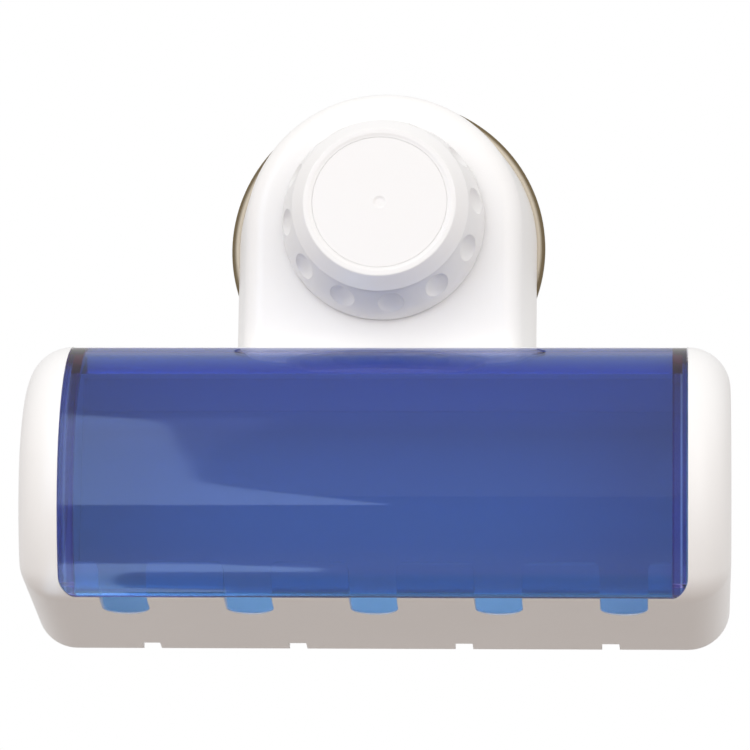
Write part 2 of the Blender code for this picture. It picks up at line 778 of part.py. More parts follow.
def make_knob(material):
    step = KNOB_FACE - KNOB_BAND
    edge = KNOB_BASE + 0.5 * MM
    recess = CAP_RADIUS + GAP
    web = KNOB_FLOOR - KNOB_WALL
    boss = NUT_HEX / math.sqrt(3) + BOSS_WALL
    bore = STUD_RADIUS + PIVOT_GAP + GAP
    side = [edge + (step - edge) * i / 5 for i in range(6)]
    inside = [web + (edge - web) * i / 3 for i in range(4)]
    slope = math.degrees(math.atan2(KNOB_SHOULDER_RADIUS - KNOB_FACE_RADIUS, KNOB_BAND))
    centre = (KNOB_FACE_RADIUS - KNOB_EDGE, KNOB_FACE - KNOB_EDGE)
    profile = [
        (bore, KNOB_BEARING),
        (boss, KNOB_BEARING),
        (boss, web),
        *[(knob_radius(depth) - KNOB_WALL, depth) for depth in inside],
        (KNOB_BASE_RADIUS - KNOB_WALL, KNOB_BASE),
        (knob_radius(edge) - 0.4 * MM, KNOB_BASE),
        *[(knob_radius(depth), depth) for depth in side],
        (KNOB_SHOULDER_RADIUS, step + KNOB_STEP),
        *arc(centre, KNOB_EDGE, slope, 90, 3),
        (recess + 0.3 * MM, KNOB_FACE),
        (recess, KNOB_FACE - 0.3 * MM),
        (recess, KNOB_FLOOR),
        (bore, KNOB_FLOOR),
    ]
    knob = turned("knob", profile, 48, material)

    bm = bmesh.new()
    low = KNOB_BASE + KNOB_HEIGHT / 4
    outline = [(boss - 1 * MM, low), (knob_radius(low) - KNOB_WALL / 2, low)]
    outline += [(knob_radius(web) - KNOB_WALL / 2, web + 0.5 * MM), (boss - 1 * MM, web + 0.5 * MM)]
    for i in range(6):
        start = len(bm.verts)
        add_prism(bm, outline, lambda u, v, w: Vector((u, -v, w)), -RIB / 2, RIB / 2)
        bm.verts.ensure_lookup_table()
        turn = Matrix.Rotation(math.radians(60 * i + 30), 4, "Y")
        bmesh.ops.transform(bm, matrix=turn, verts=bm.verts[start:])
    combine(knob, add_object("knob_ribs", bm), "UNION")

    pocket = prism(
        "nut_pocket",
        hexagon(NUT_HEX + 2 * GAP),
        along_y,
        NUT_SEAT,
        KNOB_FLOOR + 1 * MM,
    )
    combine(knob, pocket, "DIFFERENCE")
    combine(knob, make_dimples(), "DIFFERENCE")
    return knob


def make_dimples():
    """Oval finger dimples round the side, just below the shoulder."""
    bm = bmesh.new()
    middle = KNOB_FACE - DIMPLE_FRONT
    near, far = middle - DIMPLE_LENGTH / 3, middle + DIMPLE_LENGTH / 3
    slant = math.atan2(knob_radius(near) - knob_radius(far), far - near)
    bulge = 2 * DIMPLE_DEPTH
    flat = math.sqrt(1 - (1 - DIMPLE_DEPTH / bulge) ** 2)
    chord = knob_radius(middle) - DIMPLE_WIDTH**2 / 8 / knob_radius(middle)
    for i in range(DIMPLE_COUNT):
        made = bmesh.ops.create_uvsphere(bm, u_segments=12, v_segments=8, radius=1)["verts"]
        size = Matrix.Diagonal(
            (bulge, DIMPLE_LENGTH / 2 / flat, DIMPLE_WIDTH / 2 / flat, 1)
        )
        out = chord + bulge - DIMPLE_DEPTH
        place = Matrix.Translation((out, -middle, 0)) @ Matrix.Rotation(-slant, 4, "Z")
        turn = Matrix.Rotation(math.radians(360 * i / DIMPLE_COUNT - DIMPLE_TURN), 4, "Y")
        bmesh.ops.transform(bm, matrix=turn @ place @ size, verts=made)
    return add_object("dimples", bm)


def make_knob_cap(material):
    profile = [
        (0, CAP_BACK),
        (CAP_RADIUS - 2 * MM, CAP_BACK),
        (CAP_RADIUS - 2 * MM, CAP_BACK - CAP_RIM),
        (CAP_RADIUS, CAP_BACK - CAP_RIM),
        (CAP_RADIUS, CAP_FRONT - 0.3 * MM),
        (CAP_RADIUS - 0.3 * MM, CAP_FRONT),
        (GATE_RADIUS, CAP_FRONT),
        (GATE_RADIUS * 0.7, CAP_FRONT - GATE_DEPTH * 0.8),
        (0, CAP_FRONT - GATE_DEPTH),
    ]
    return turned("knob_cap", profile, 48, material)


def make_knob_nut(material):
    nut = prism("knob_nut", hexagon(NUT_HEX), along_y, NUT_BASE, NUT_TOP, material)
    bore = prism(
        "nut_bore",
        arc((0, 0), STUD_RADIUS + PIVOT_GAP, 0, 345, 23),
        along_y,
        NUT_BASE - 1 * MM,
        NUT_TOP + 1 * MM,
    )
    combine(nut, bore, "DIFFERENCE")
    return nut


def make_thrust_washer(material):
    profile = tube_profile(
        STUD_RADIUS + 1.2 * MM, WASHER_RADIUS, WASHER_BASE, WASHER_BASE + WASHER_HEIGHT
    )
    return turned("thrust_washer", profile, 24, material)


# Suction disc and the pieces that pull it


def make_suction_disc(material):
    land = DISC_RADIUS - DISC_LAND
    underside = []
    for i in range(7):
        share = i / 6
        underside.append((land * share, DISC_HOLLOW * (1 - share**2)))
    neck_top = HUB_TOP + GAP + NECK_WALL
    collar = HUB_HEX / math.sqrt(3) + PIVOT_GAP
    shoulder = []
    for i in range(6):
        share = i / 5
        radius = RING_RADIUS - 4 * MM + (NECK_RADIUS + 1 * MM - RING_RADIUS + 4 * MM) * share
        rise = (HUB_TOP - DISC_RIM) * share**2
        shoulder.append((radius, DISC_RIM + rise))
    profile = underside + [
        (DISC_RADIUS - 0.5 * MM, 0),
        (DISC_RADIUS, 0.5 * MM),
        (DISC_RADIUS, DISC_RIM - 0.7 * MM),
        (DISC_RADIUS - 0.8 * MM, DISC_RIM),
        *shoulder,
        (NECK_RADIUS, neck_top - 0.6 * MM),
        (NECK_RADIUS - 0.6 * MM, neck_top),
        (collar, neck_top),
        (collar, HUB_TOP + GAP),
        (HUB_RADIUS + GAP, HUB_TOP + GAP),
        (HUB_RADIUS + GAP, HUB_BASE - GAP),
        (0, HUB_BASE - GAP),
    ]
    return turned("suction_disc", profile, 48, material)


def make_stud_hub(material):
    low = HUB_BASE
    blank = [(0, low), (HUB_RADIUS, low), (HUB_RADIUS, HUB_TOP), (0, HUB_TOP)]
    hub = turned("stud_hub", blank, 24, material)
    collar = prism("hub_collar", hexagon(HUB_HEX), along_y, HUB_TOP - 1 * MM, COLLAR_TOP)
    combine(hub, collar, "UNION")
    bore = [
        (0, low - 1 * MM),
        (STUD_HEAD_RADIUS + GAP, low - 1 * MM),
        (STUD_HEAD_RADIUS + GAP, low + STUD_HEAD + GAP),
        (STUD_RADIUS + GAP, low + STUD_HEAD + GAP),
        (STUD_RADIUS + GAP, COLLAR_TOP + 1 * MM),
        (0, COLLAR_TOP + 1 * MM),
    ]
    combine(hub, turned("hub_bore", bore, 24), "DIFFERENCE")
    return hub


def make_pull_stud(material):
    low = HUB_BASE
    screw_hole = STOP_SCREW_RADIUS + GAP
    screw_end = SCREW_BASE - STOP_SCREW_LENGTH
    chamfer = 0.6 * MM
    profile = [
        (0, low),
        (STUD_HEAD_RADIUS, low),
        (STUD_HEAD_RADIUS, low + STUD_HEAD),
        (STUD_RADIUS, low + STUD_HEAD),
        (STUD_RADIUS, NUT_TOP - chamfer),
        (STUD_RADIUS - chamfer, NUT_TOP),
        (screw_hole, NUT_TOP),
        (screw_hole, screw_end - GAP),
        (0, screw_end - GAP),
    ]
    return turned("pull_stud", profile, 24, material)


def make_stop_washer(material):
    inner = STOP_SCREW_RADIUS + GAP
    profile = tube_profile(inner, STOP_RADIUS, STOP_BASE, STOP_BASE + STOP_HEIGHT)
    return turned("stop_washer", profile, 24, material)


def make_stop_screw(material):
    profile = [
        (0, SCREW_BASE - STOP_SCREW_LENGTH),
        (STOP_SCREW_RADIUS, SCREW_BASE - STOP_SCREW_LENGTH),
        (STOP_SCREW_RADIUS, SCREW_BASE),
        (STOP_HEAD_RADIUS, SCREW_BASE),
        (STOP_HEAD_RADIUS, SCREW_TOP - STOP_HEAD * 0.4),
        (STOP_HEAD_RADIUS * 0.7, SCREW_TOP),
        (0, SCREW_TOP),
    ]
    return turned("stop_screw", profile, 16, material)


def main():
    for old in list(bpy.data.objects):
        bpy.data.objects.remove(old)
    white = plastic("white_plastic", (0.86, 0.84, 0.82), 0.42)
    knob_white = plastic("knob_plastic", (0.88, 0.86, 0.85), 0.38)
    cover_white = plastic("cover_plastic", (0.8, 0.79, 0.77), 0.5)
    blue = plastic("blue_clear_plastic", (0.03, 0.12, 0.55), 0.06, alpha=0.55)
    rubber = plastic("disc_rubber", (0.42, 0.35, 0.26), 0.45)
    pad_rubber = plastic("pad_rubber", (0.5, 0.49, 0.47), 0.7)
    nylon = plastic("nylon", (0.78, 0.76, 0.7), 0.45)
    steel = plastic("steel", (0.62, 0.62, 0.6), 0.3, metallic=1.0)

    make_housing(white)
    make_rear_cover(cover_white)
    make_cover_screws(steel)
    make_wall_pads(pad_rubber)
    make_lid(blue)
    make_hinge_pins(steel)
    make_knob(knob_white)
    make_knob_cap(knob_white)
    make_knob_nut(steel)
    make_thrust_washer(nylon)
    make_suction_disc(rubber)
    make_stud_hub(nylon)
    make_pull_stud(steel)
    make_stop_washer(steel)
    make_stop_screw(steel)

    add_bodies()


def add_bodies():
    """One empty for each moving group, on its joint's axis, with its pieces under it."""
    groups = {
        "lid_axis": (along_x(*HINGE, 0), ("lid",)),
        "knob_axis": ((0, 0, 0), ("knob", "knob_cap", "knob_nut")),
        "stud_axis": ((0, 0, 0), ("stud_hub", "pull_stud", "stop_washer", "stop_screw")),
        "wall_frame": ((0, 0, 0), None),
    }
    waiting = [o for o in bpy.data.objects if not o.hide_render]
    for group, (place, names) in groups.items():
        empty = bpy.data.objects.new(group, None)
        empty.location = place
        bpy.context.scene.collection.objects.link(empty)
        members = [o for o in waiting if names is None or o.name in names]
        waiting = [o for o in waiting if o not in members]
        for obj in members:
            obj.parent = empty
            obj.matrix_parent_inverse = Matrix.Translation(-Vector(place))
            members += [m.object for m in obj.modifiers]


main()
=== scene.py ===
import math

import bmesh
import bpy
from mathutils import Matrix, Vector


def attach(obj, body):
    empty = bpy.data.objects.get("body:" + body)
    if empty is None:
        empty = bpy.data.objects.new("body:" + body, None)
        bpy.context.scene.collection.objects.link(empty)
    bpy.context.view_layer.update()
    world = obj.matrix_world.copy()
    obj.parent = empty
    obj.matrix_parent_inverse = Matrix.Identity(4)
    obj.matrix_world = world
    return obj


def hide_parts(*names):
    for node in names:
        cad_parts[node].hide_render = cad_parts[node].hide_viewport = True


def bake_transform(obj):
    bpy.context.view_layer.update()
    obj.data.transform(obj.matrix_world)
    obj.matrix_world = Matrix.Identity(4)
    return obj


mm = 0.001


print("holder: loading the packed frame")
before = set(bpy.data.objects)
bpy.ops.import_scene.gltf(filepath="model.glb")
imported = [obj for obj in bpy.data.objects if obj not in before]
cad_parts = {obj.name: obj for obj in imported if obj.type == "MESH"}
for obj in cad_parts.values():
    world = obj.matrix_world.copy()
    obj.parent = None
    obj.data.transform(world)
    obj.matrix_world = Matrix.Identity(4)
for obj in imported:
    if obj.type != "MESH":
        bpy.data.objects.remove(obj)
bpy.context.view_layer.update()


# Shader maths: a socket that takes part in Python sums
class Socket:
    def __init__(self, tree, link):
        self.tree = tree
        self.link = link

    def math(self, kind, first, second):
        return self.tree.add("ShaderNodeMath", {"operation": kind}, {0: first, 1: second})

    def __add__(self, other):
        return self.math("ADD", self, other)

    def __radd__(self, other):
        return self.math("ADD", other, self)

    def __sub__(self, other):
        return self.math("SUBTRACT", self, other)

    def __rsub__(self, other):
        return self.math("SUBTRACT", other, self)

    def __mul__(self, other):
        return self.math("MULTIPLY", self, other)

    def __rmul__(self, other):
        return self.math("MULTIPLY", other, self)

    def clamp(self):
        return self.tree.add("ShaderNodeClamp", {}, {0: self})


class Tree:
    def __init__(self, owner):
        owner.use_nodes = True
        self.nodes = owner.node_tree.nodes
        self.links = owner.node_tree.links
        self.nodes.clear()

    def add(self, kind, settings=None, values=None, out=0):
        node = self.nodes.new(kind)
        for name, value in (settings or {}).items():
            setattr(node, name, value)
        for key, value in (values or {}).items():
            target = node.inputs[key]
            if isinstance(value, Socket):
                self.links.new(value.link, target)
            elif isinstance(value, tuple) and target.type == "RGBA":
                target.default_value = (*value, 1)
            else:
                target.default_value = value
        return Socket(self, node.outputs[out])

    def place(self, out="Object"):
        return self.add("ShaderNodeTexCoord", out=out)

    def part(self, place, axis):
        return self.add("ShaderNodeSeparateXYZ", {}, {0: place}, axis)

    def noise(self, scale, detail=2.0):
        values = {"Vector": self.place(), "Scale": scale, "Detail": detail}
        return self.add("ShaderNodeTexNoise", {}, values)

    def ramp(self, fac, fromLow, fromHigh, toLow=0.0, toHigh=1.0):
        values = {0: fac, 1: fromLow, 2: fromHigh, 3: toLow, 4: toHigh}
        return self.add("ShaderNodeMapRange", {}, values)

    def mix(self, fac, first, second):
        values = {0: fac, 6: first, 7: second}
        return self.add("ShaderNodeMix", {"data_type": "RGBA"}, values, 2)

    def ray(self, kind):
        return self.add("ShaderNodeLightPath", out=f"Is {kind} Ray")

    def seen(self):  # 1 for what the camera sees, also in gloss and through clear plastic
        return (self.ray("Camera") + self.ray("Glossy") + self.ray("Transmission")).clamp()

    def finish(self, shader, kind="ShaderNodeOutputMaterial"):
        self.links.new(shader.link, self.nodes.new(kind).inputs["Surface"])


# Camera

cameraView = {
    "place": Vector((84.9, -1510.5, -423.4)) * mm,
    "yaw": -3.35,
    "pitch": 14.3,
    "roll": 0.87,
    "focal": 5336,  # pixels
    "image": 750,
}


def makeCamera(view):
    yaw, pitch, roll = (math.radians(view[k]) for k in ("yaw", "pitch", "roll"))
    ahead = Vector(
        (math.sin(yaw) * math.cos(pitch), math.cos(yaw) * math.cos(pitch), math.sin(pitch))
    )
    right = Vector((math.cos(yaw), -math.sin(yaw), 0))
    up = right.cross(ahead)
    rightRolled = right * math.cos(roll) + up * math.sin(roll)
    upRolled = up * math.cos(roll) - right * math.sin(roll)
    data = bpy.data.cameras.new("camera")
    data.sensor_width = 36
    data.lens = view["focal"] * data.sensor_width / view["image"]
    data.clip_start = 0.05
    data.clip_end = 50
    obj = bpy.data.objects.new("camera", data)
    turn = Matrix((rightRolled, upRolled, -ahead)).transposed().to_4x4()
    obj.matrix_world = Matrix.Translation(view["place"]) @ turn
    bpy.context.scene.collection.objects.link(obj)
    bpy.context.scene.camera = obj


makeCamera(cameraView)

# Studio: pale room, soft lamps at the front left and right, and two bright cards that only
# gloss sees, one at the front left and one by the floor

studio = {
    "surround": 0.86,  # light from the room on the object
    "behind": 0.7,  # how bright gloss sees the room above and behind
    "behindSpan": (-0.5, 0.1),
    "aboveSpan": (-0.1, 0.3),
    "floorLight": (0.43, 0.37, 0.335),  # what the floor throws back up
    "floorSeen": (0.9, 0.9, 0.9),
    "floorHeight": -0.9,
    "floorHalf": 6,
    "cardPlace": -1.2,
    "card": [
        (-0.95, 1.36), (-0.32, 1.36), (-0.29, 1.305), (-0.252, 1.177), (-0.222, 1.064),
        (-0.211, 0.995), (-0.203, 0.929), (-0.181, 0.63), (-0.167, 0.356), (-0.157, 0.134),
        (-0.152, -0.024), (-0.148, -0.091), (-0.136, -0.134), (-0.126, -0.167),
        (-0.105, -0.222), (-0.086, -0.265), (-0.06, -0.332), (-0.06, -0.344),
        (-0.137, -0.347), (-0.216, -0.351), (-0.95, -0.36),
    ],
    "cardLight": (1.95, 2.3, 2.8),
    "lowPlace": -0.85,
    "low": [
        (-0.6, -0.796), (-0.142, -0.801), (-0.082, -0.748), (-0.08, -0.707), (-0.17, -0.7),
        (-0.145, -0.035), (-0.102, 0.04), (-0.104, 0.137), (-0.148, 0.153), (-0.155, 0.333),
        (-0.6, 0.346),
    ],
    "lowLight": (2.3, 2.9, 3.6),
    "lamps": {
        "left": {"place": (-0.6, -1.2, 0.45), "size": (0.9, 1.6), "power": 7.3, "gloss": False},
        "right": {"place": (0.75, -1.2, 0.15), "size": (0.9, 1.2), "power": 5.4, "gloss": True},
    },
}


def makeStudio(look):
    scene = bpy.context.scene
    scene.view_settings.view_transform = "Standard"
    scene.world = bpy.data.worlds.new("studio")
    tree = Tree(scene.world)
    seen = tree.seen()
    lens = tree.ray("Camera")
    toward = tree.place("Generated")
    behind = tree.ramp(tree.part(toward, "Y"), *look["behindSpan"])
    above = tree.ramp(tree.part(toward, "Z"), *look["aboveSpan"])
    mirrored = 1 - behind * above * (1 - look["behind"])
    strength = lens + (seen - lens) * mirrored + (1 - seen) * look["surround"]
    light = tree.add("ShaderNodeBackground", {}, {"Color": (1, 1, 1), "Strength": strength})
    tree.finish(light, "ShaderNodeOutputWorld")

    bm = bmesh.new()
    bmesh.ops.create_grid(bm, x_segments=1, y_segments=1, size=look["floorHalf"])
    mesh = bpy.data.meshes.new("floor")
    bm.to_mesh(mesh)
    bm.free()
    floor = bpy.data.objects.new("floor", mesh)
    floor.location.z = look["floorHeight"]
    scene.collection.objects.link(floor)
    material = bpy.data.materials.new("paleFloor")
    tree = Tree(material)
    grain = tree.ramp(tree.noise(40), 0.3, 0.7)
    darker = tuple(c * 0.97 for c in look["floorLight"])
    thrown = tree.mix(grain, look["floorLight"], darker)
    colour = tree.mix(tree.seen(), thrown, look["floorSeen"])
    tree.finish(tree.add("ShaderNodeBsdfDiffuse", {}, {"Color": colour}))
    mesh.materials.append(material)

    lit = [Vector((x, look["cardPlace"], z)) for x, z in look["card"]]
    low = [Vector((x, y, look["lowPlace"])) for x, y in look["low"]]
    for name, outline, bright in (("card", lit, "cardLight"), ("lowCard", low, "lowLight")):
        bm = bmesh.new()
        bm.faces.new([bm.verts.new(p) for p in outline])
        mesh = bpy.data.meshes.new(name)
        bm.to_mesh(mesh)
        bm.free()
        tree = Tree(bpy.data.materials.new(name))
        tree.finish(tree.add("ShaderNodeEmission", {}, {"Color": look[bright]}))
        mesh.materials.append(bpy.data.materials[name])
        card = bpy.data.objects.new(name, mesh)
        card.visible_camera = False
        card.visible_diffuse = False
        card.visible_shadow = False
        scene.collection.objects.link(card)

    for name, lamp in look["lamps"].items():
        data = bpy.data.lights.new(name, "AREA")
        data.shape = "RECTANGLE"
        data.size, data.size_y = lamp["size"]
        data.energy = lamp["power"]
        obj = bpy.data.objects.new(name, data)
        aim = Matrix.Rotation(math.radians(90), 4, "X")
        obj.matrix_world = Matrix.Translation(lamp["place"]) @ aim
        obj.visible_camera = False
        obj.visible_glossy = lamp["gloss"]
        scene.collection.objects.link(obj)


makeStudio(studio)
print("holder: camera and studio set")

# Finishes


def plasticFinish(name, colour, rough, grain=0.05, edge=0.35):
    material = bpy.data.materials.new(name)
    tree = Tree(material)
    cloud = tree.noise(18, 3)
    gloss = tree.ramp(cloud, 0.3, 0.7, rough - 0.03, rough + 0.03)
    soft = tree.add("ShaderNodeBevel", {"samples": 4}, {"Radius": edge * mm})
    values = {"Strength": grain, "Distance": 0.0002, "Height": tree.noise(900), "Normal": soft}
    values = {
        "Base Color": tree.mix(cloud, colour, tuple(c * 0.985 for c in colour)),
        "Roughness": gloss,
        "Normal": tree.add("ShaderNodeBump", {}, values),
        "IOR": 1.47,
    }
    tree.finish(tree.add("ShaderNodeBsdfPrincipled", {}, values))
    return material


def metalFinish(name, colour, rough):
    material = bpy.data.materials.new(name)
    tree = Tree(material)
    cloud = tree.noise(300, 4)
    pits = {"Strength": 0.05, "Distance": 0.0001, "Height": tree.noise(2500)}
    values = {
        "Base Color": tree.mix(cloud, colour, tuple(c * 0.8 for c in colour)),
        "Roughness": tree.ramp(cloud, 0.3, 0.7, rough - 0.06, rough + 0.08),
        "Normal": tree.add("ShaderNodeBump", {}, pits),
        "Metallic": 1.0,
    }
    tree.finish(tree.add("ShaderNodeBsdfPrincipled", {}, values))
    return material


def clearFinish(name, tints, rough=0.03, through=None, stripes=()):
    material = bpy.data.materials.new(name)
    tree = Tree(material)
    tint = tints[0][1]
    through = through or tuple(c**0.5 for c in tint)
    place = tree.place()
    across = tree.add("ShaderNodeMath", {"operation": "ABSOLUTE"}, {0: tree.part(place, "X")})
    # stripes paint shade and light lines on the clear plastic
    for middle, half, stripe in stripes:  # upright stripes, in millimetres from the middle
        inner = tree.ramp(across, (middle - half) * mm, middle * mm)
        outer = tree.ramp(across, middle * mm, (middle + half) * mm)
        tint = tree.mix(inner - outer, tint, stripe)
    # tints by height paint light and shade on the clear plastic
    height = tree.part(place, "Z")
    for (low, _), (high, colour) in zip(tints, tints[1:]):  # from the lowest tint up
        tint = tree.mix(tree.ramp(height, low * mm, high * mm), tint, colour)
    wave = {"Strength": 0.04, "Distance": 0.001, "Height": tree.noise(9)}
    values = {
        "Base Color": tint,
        "Roughness": tree.ramp(tree.noise(12), 0.3, 0.7, rough, rough + 0.02),
        "Normal": tree.add("ShaderNodeBump", {}, wave),
        "IOR": 1.49,
        "Transmission Weight": 1.0,
    }
    glass = tree.add("ShaderNodeBsdfPrincipled", {}, values)
    clear = tree.add("ShaderNodeBsdfTransparent", {}, {"Color": through})
    values = {0: tree.ray("Shadow"), 1: glass, 2: clear}
    tree.finish(tree.add("ShaderNodeMixShader", {}, values))
    return material


def discFinish(name, body, line, reach):
    material = bpy.data.materials.new(name)
    tree = Tree(material)
    flat = tree.add(
        "ShaderNodeVectorMath", {"operation": "MULTIPLY"}, {0: tree.place(), 1: (1, 0, 1)}
    )
    radius = tree.add("ShaderNodeVectorMath", {"operation": "LENGTH"}, {0: flat}, "Value")
    # the ring at the outer edge is darker, painted shade where the rim meets the wall
    rim = tree.ramp(radius, reach[0] * mm, reach[1] * mm)
    cloud = tree.noise(60, 3)
    worn = tree.mix(cloud, body, tuple(c * 0.93 for c in body))
    pores = {"Strength": 0.08, "Distance": 0.0002, "Height": tree.noise(700)}
    values = {
        "Base Color": tree.mix(rim, worn, line),
        "Roughness": tree.ramp(cloud, 0.3, 0.7, 0.36, 0.46),
        "Normal": tree.add("ShaderNodeBump", {}, pores),
        "IOR": 1.43,
    }
    tree.finish(tree.add("ShaderNodeBsdfPrincipled", {}, values))
    return material


white = plasticFinish("whitePlastic", (0.89, 0.875, 0.865), 0.36)
knobWhite = plasticFinish("knobPlastic", (0.86, 0.846, 0.84), 0.36)
coverWhite = plasticFinish("coverPlastic", (0.83, 0.82, 0.81), 0.48, grain=0.12, edge=0.04)
# Tints of the clear plastic by height in millimetres, from the lowest up. They paint light and
# shade on the lid's even blue: the lowest ones follow the lid's lower edge, where light comes
# in from below, with a painted shade line and a painted light line; the middle ones are painted
# light and shade of the inside seen through the lid; the top ones paint the reflection on the
# roll
blueTintsPaintedLight = [
    (-115.6, (0.05, 0.13, 0.24)),
    (-115.2, (0.07, 0.22, 0.42)),
    (-115, (0.08, 0.5, 0.92)),
    (-114.5, (0.09, 0.33, 0.78)),
    (-113.5, (0.09, 0.21, 0.5)),
    (-111.5, (0.09, 0.205, 0.455)),
    (-109.5, (0.17, 0.225, 0.475)),
    (-97, (0.17, 0.235, 0.485)),
    (-72, (0.155, 0.195, 0.445)),
    (-52, (0.14, 0.24, 0.79)),
    (-46.2, (0.14, 0.32, 0.72)),
    (-41, (0.16, 0.1, 0.32)),
]
# The lid's ends are darker at the top, painted shade over the ear round the hinge pin; the
# stripes along each end are a painted shade line and a painted light line
endTintsPaintedShade = [(-53, (0.16, 0.15, 0.48)), (-48.5, (0.07, 0.002, 0.04))]
endPaintedLines = [(83.75, 0.45, (0.1, 0.06, 0.3)), (86, 0.5, (0.6, 0.62, 0.9))]
blueLight = (0.37, 0.74, 0.88)  # tint of the light that reaches the inside
blueClear = clearFinish("blueClearPlastic", blueTintsPaintedLight, through=blueLight)
blueEnd = clearFinish("blueEndPlastic", endTintsPaintedShade, 0.06, stripes=endPaintedLines)
# Nearly black tint, painted shade on the lid's lowest edge and its rounded side edges
edgeTintsPaintedShade = [(0, (0.008, 0.003, 0.02))]
blueEdge = clearFinish("blueEdgePlastic", edgeTintsPaintedShade, 0.08)
# the disc's body colour, then a darker outer ring between these radii that is painted shade
discRubber = discFinish("discRubber", (0.64, 0.56, 0.44), (0.13, 0.09, 0.035), (44.5, 45.3))
padRubber = plasticFinish("padRubber", (0.45, 0.44, 0.42), 0.7, grain=0.15)
nylon = plasticFinish("nylon", (0.78, 0.76, 0.7), 0.45)
steel = metalFinish("zincSteel", (0.62, 0.62, 0.6), 0.3)

# Ways to make a piece; outlines are in millimetres, and depth is the way out from the wall


def alongX(u, v, w):
    return Vector((w, -u, v)) * mm


def alongY(u, v, w):
    return Vector((u, -w, v)) * mm


def alongZ(u, v, w):
    return Vector((u, -v, w)) * mm


def arcPoints(centre, radius, start, end, steps):
    points = []
    for i in range(steps + 1):
        angle = math.radians(start + (end - start) * i / steps)
        across, up = radius * math.cos(angle), radius * math.sin(angle)
        points.append((centre[0] + across, centre[1] + up))
    return points


def addSkin(bm, rings, closed=False):
    layers = [[bm.verts.new(p) for p in ring] for ring in rings]
    follow = layers[1:] + (layers[:1] if closed else [])
    for a, b in zip(layers, follow):
        for i in range(len(a)):
            j = (i + 1) % len(a)
            bm.faces.new((a[i], a[j], b[j], b[i]))
    if not closed:
        bm.faces.new(layers[0])
        bm.faces.new(layers[-1][::-1])


def addPrism(bm, outline, along, low, high):
    addSkin(bm, [[along(u, v, w) for u, v in outline] for w in (low, high)])


def addTurned(bm, profile, steps, centre=(0, 0), start=0):
    rings = []
    for i in range(steps):
        angle = math.radians(start + 360 * i / steps)
        x, z = math.cos(angle), math.sin(angle)
        rings.append([alongY(r * x + centre[0], r * z + centre[1], d) for r, d in profile])
    addSkin(bm, rings, closed=True)


def newObject(name, bm):
    bmesh.ops.remove_doubles(bm, verts=bm.verts, dist=1e-7)
    bmesh.ops.recalc_face_normals(bm, faces=bm.faces)
    mesh = bpy.data.meshes.new(name)
    bm.to_mesh(mesh)
    bm.free()
    obj = bpy.data.objects.new(name, mesh)
    bpy.context.scene.collection.objects.link(obj)
    return obj


def prism(name, outline, along, low, high):
    bm = bmesh.new()
    addPrism(bm, outline, along, low, high)
    return newObject(name, bm)


def turned(name, profile, steps, centre=(0, 0)):
    bm = bmesh.new()
    addTurned(bm, profile, steps, centre)
    return newObject(name, bm)


def settle(obj):  # modifiers become mesh
    graph = bpy.context.evaluated_depsgraph_get()
    mesh = bpy.data.meshes.new_from_object(obj.evaluated_get(graph))
    obj.modifiers.clear()
    obj.data = mesh


def cut(target, tool, operation="DIFFERENCE"):
    modifier = target.modifiers.new("cut", "BOOLEAN")
    modifier.operation = operation
    modifier.object = tool
    settle(target)
    bpy.data.objects.remove(tool)


def dress(obj, node, body, slot, *finishes, angle=30):
    obj.data.materials.clear()
    for finish in finishes:
        obj.data.materials.append(finish)
    obj.data.shade_smooth()
    obj.data.set_sharp_from_angle(angle=math.radians(angle))
    obj.modifiers.new("normals", "WEIGHTED_NORMAL").keep_sharp = True
    settle(obj)
    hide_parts(node)
    if body:
        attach(obj, body)
    return obj


# Box: its side outline is three arcs and a sloping floor, and its ends are rounded

box = {
    "width": 199.8,
    "top": 38.25,
    "bottom": 120.3,
    "rear": 4.8,
    "topCentre": (29, -79.25),
    "topRadius": 41,
    "lowCentre": (10, -79.25),
    "lowRadius": 60,
    "cornerCentre": (50.4384, -104.1695),
    "cornerRadius": 12.5,
    "cornerStart": -31.6428,
    "slope": 4.5,
    "wall": 2,
    "cheek": 12.1,
    "cheekRound": 12,
    "pocket": 7.4,  # depth of the space for the rear cover
    "panel": 9.4,  # depth of the bay's rear wall
    "strip": 12.5,
    "flange": 8.5,
    "lidGap": 0.35,
    "clear": 75,  # a depth in front of everything
}
lid = {
    "wall": 2.2,
    "flange": 1.2,
    "rim": (3.9, 4.4),  # width, and depth from the front
    "edgeAngle": -69,
    "hinge": (42.3313, -44.5208),
    "hingeAngle": 69,
    "roll": 3.8,
    "ear": 4,
    "bore": 1.6,
    "corner": 4.4,
    "rimLift": 14,  # degrees from the lower edge to the rim
    "edgeRound": 0.3,
    # the lowest faces and the rounded side edges of the lid get a painted shade
    "darkEdge": 1,  # degrees
    "darkSide": 0.35,
}
openHalf = box["width"] / 2 - box["cheek"]
lidHalf = openHalf - box["lidGap"]
lipHalf = lidHalf - lid["rim"][0] - box["lidGap"]
flangeFront = lid["hinge"][0] - lid["roll"] - 0.6
floorEnd = box["slope"] - 90
lidEdge = arcPoints(box["cornerCentre"], box["cornerRadius"], lid["edgeAngle"], 0, 1)[0]


def frontPath(inset, topAngle, cornerAngle):
    radius = box["cornerRadius"] - inset
    points = arcPoints(box["topCentre"], box["topRadius"] - inset, topAngle, 0, 32)
    start = box["cornerStart"]
    points += arcPoints(box["lowCentre"], box["lowRadius"] - inset, 0, start, 16)[1:]
    points += arcPoints(box["cornerCentre"], radius, start, cornerAngle, 14)[1:]
    return points


def floorHeight(depth, inset):
    slope = math.radians(box["slope"])
    rise = (depth - box["rear"]) * math.tan(slope)
    return -box["bottom"] + rise + inset / math.cos(slope)


def boxOutline(inset, rear):
    front = frontPath(inset, 90, floorEnd)
    return [(rear, -box["top"] - inset)] + front + [(rear, floorHeight(rear, inset))]


